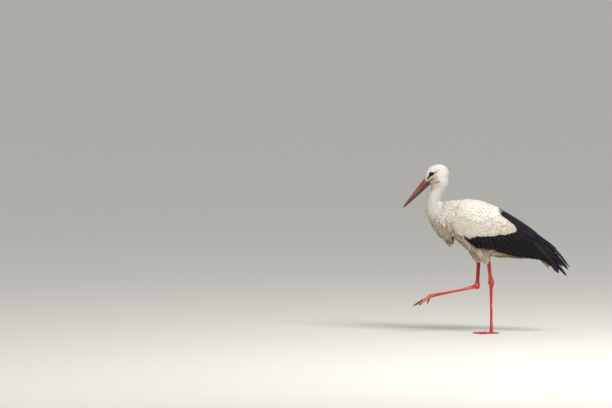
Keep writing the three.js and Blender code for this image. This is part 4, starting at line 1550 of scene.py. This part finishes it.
def mandible(half, finish):
    """One half of the bill, from under the face feathers to the tip."""
    way, power, gape_width, narrowing, narrow_power = HALVES[half]
    upper = half == "upper"
    t = (-0.12 + 1.12 * (np.arange(BILL_RINGS + 1) / BILL_RINGS) ** 0.9)[:, None]
    wide, deep, gape = (np.interp(t, STATIONS, row) for row in (HALF_WIDTH, HALF_DEPTH, TOMIUM))
    sideways, height = np.cos(ring_angles(RING_SIDES)), np.sin(ring_angles(RING_SIDES))
    from_gape = way * height
    rise = (deep - way * gape) * np.where(from_gape < 0, 0.10 * from_gape, np.abs(from_gape) ** power)
    level = gape + way * (GAPE_GAP + rise)
    narrow = gape_width - narrowing * np.maximum(from_gape, 0) ** narrow_power
    along_slit = (t - NOSTRIL_START) / NOSTRIL_LENGTH
    in_slit = upper * (along_slit > 0) * (along_slit < 1) * (height > 0.42) * (height < 0.62)
    slit = in_slit * NOSTRIL_SINK * np.sqrt(np.abs(np.sin(along_slit * math.pi)))
    across = sideways * wide * narrow - slit * np.sign(sideways)
    rings = BILL_BASE + t[..., None] * BILL_LENGTH * BILL_AXIS + level[..., None] * BILL_UP
    rings[..., 1] = across
    height = np.abs(level - gape) / (deep - way * gape)
    # The nostril's slit is darkened: painted shade in the opening.
    spot = np.hypot((height - NOSTRIL_HEIGHT) / 0.028, (t - NOSTRIL_MIDDLE) / 0.03)
    dark = upper * np.clip(2.2 - spot, 0, 1)
    marks = {"along": t + 0 * level, "height": height, "ink_and_shade": dark, "upper": upper + 0 * level}
    return lofted(f"mandible_{half}", rings, finish, marks)


# %% Bill finish
# Bill horn is smooth keratin with a slight waxy shine, hence the thin coat over its streaks.
bill_horn, add = new_finish("bill_horn_red_brown")
place = add("TexCoord", out="Object")
along, height, ink_and_shade, upper = (add("Attribute", attribute_name=name, out="Fac")
                             for name in ("along", "height", "ink_and_shade", "upper"))
lean = math.atan2(BILL_AXIS[2], BILL_AXIS[0])
turned = add("Mapping", place, Rotation=(0, lean, 0), Scale=(16, 420, 420))
grain = add("TexNoise", turned, Scale=1.0, Detail=5.0, Roughness=0.6)
streaks = add("MapRange", grain, 0.36, 0.62)
high = add("MapRange", height, 0.62, 0.95, 0.0, 0.85)
ridge = add("Math", high, add("MapRange", along, 0.15, 0.45, 1.0, 0.3), operation="MULTIPLY")
upper_horn = layered(add, "#58221f", (streaks, "#9a4a42"), (ridge, "#4c2a3a"))
red_base = add("MapRange", along, 0.05, 0.3, 0.6, 0.0)
black_rim = add("MapRange", along, 0.01, 0.07, 0.9, 0.0)
lower_horn = layered(add, "#38100d", (streaks, "#592019"), (red_base, "#861a10"), (black_rim, "#180e0f"))
flecks = add("TexNoise", place, Scale=420.0, Detail=3.0)
pale = add("MapRange", flecks, 0.56, 0.66, 0.0, 0.36)
for limits in ((0.2, 0.45, 0.0, 1.0), (0.65, 0.85, 1.0, 0.0)):
    pale = add("Math", pale, add("MapRange", along, *limits), operation="MULTIPLY")
tip = add("MapRange", along, 0.55, 0.95, 0.0, 0.85)
# Painted shade: both halves darken towards the gape, where they meet.
shade_at_gape = add("MapRange", height, 0.1, 0.36, 0.85, 0.0)
colour = layered(add, lower_horn, (upper, upper_horn), (pale, "#c79a9c"), (tip, "#4a2416"),
                 (shade_at_gape, "#2d1f1a"), (ink_and_shade, "#120807"))
close_finish(add, colour, (grain, 0.3, 0.0005), Roughness=0.38, IOR=1.55, Coat_Weight=0.12,
             Coat_Roughness=0.3)
for half in HALVES:
    hand_over(mandible(half, bill_horn), "bill_horn", f"bill_{half}")

# %% [markdown]
# ## Eyes and claws
# The eye is a glossy ball, nearly black, with a dark brown iris round the pupil. A claw is a short
# curved cone of dark horn that thins to its tip. One function makes all eight from the solids'
# own places.

# %% Eyes
EYE_RADIUS = 7.5
# A wet eye is as clear as water, with a tear film for its coat.
eye_gloss, add = new_finish("wet_eye")
off_axis = add("Attribute", attribute_name="off_axis", out="Fac")
colour = layered(add, "#020202", (add("MapRange", off_axis, 2.9, 3.3), "#160c09"),
                 (add("MapRange", off_axis, 4.6, 5.4), "#0a0707"))
close_finish(add, colour, Roughness=0.2, IOR=1.34, Specular_IOR_Level=0.25, Coat_Weight=0.35,
             Coat_Roughness=0.03)
for side, sign in SIDES.items():
    shape = bmesh.new()
    turn = Matrix.Rotation(math.pi / 2, 4, "X")
    bmesh.ops.create_uvsphere(shape, u_segments=40, v_segments=28, radius=EYE_RADIUS * MM, matrix=turn)
    bmesh.ops.translate(shape, verts=shape.verts, vec=Vector((EYE[0], sign * EYE[1], EYE[2])) * MM)
    eyeball = new_object(f"eyeball_{side}", shape)
    finish_mesh(eyeball.data, eye_gloss, {"off_axis": from_eye(read_points(eyeball.data))})
    hand_over(eyeball, "eye", f"eye_{side}")

# %% Claws
CLAW_RINGS = 12
CLAW_SIDES = 14
CLAW_RADIUS = 2.9
CLAW_BOW = 1.28
CLAW_TIP = 0.35
# Claw horn is solid keratin, worn smooth, with a fine mottle.
claw_horn, add = new_finish("claw_horn_dark")
grain = add("TexNoise", add("TexCoord", out="Object"), Scale=420.0, Detail=4.0)
colour = layered(add, "#151011", (grain, "#43342e"))
close_finish(add, colour, (grain, 0.25, 0.0003), Roughness=0.35, IOR=1.55)


def claw(name, node, ankle, grounded):
    """A curved cone from the toe's end to the CAD claw's tip."""
    points = read_points(nodes[node].data)
    away = np.linalg.norm(points - ankle, axis=1)
    near, tip = points[away < away.min() + 4].mean(0), points[np.argmax(away)]
    length = np.linalg.norm(tip - near)
    axis = (tip - near) / length
    flat = unit(np.cross(axis, [0, 0, 1]))
    up = np.cross(flat, axis)
    t = np.linspace(0, 1, CLAW_RINGS + 1)[:, None, None]
    angle = ring_angles(CLAW_SIDES)[:, None]
    middle = near + axis * (length - 0.6) * t + up * CLAW_BOW * np.sin(math.pi * t)
    radius = CLAW_RADIUS * (1 - t) ** 0.7 + CLAW_TIP
    rings = middle + radius * (0.85 * flat * np.cos(angle) + up * np.sin(angle))
    if grounded:
        rings[..., 2] = np.maximum(rings[..., 2], 0.05)
    return lofted(name, rings, claw_horn)


for side, ankle in ANKLES.items():
    for digit in DIGITS:
        node = f"claw_{side}_{digit}"
        hand_over(claw(f"nail_{side}_{digit}", node, ankle, side == "left"), "claw_horn", node)

# %% [markdown]
# ## Clearing away the helpers
# The hulls were only helpers, so they are removed.

# %% Finish
for helper in (body_hull, wing_hull):
    bpy.data.objects.remove(helper)
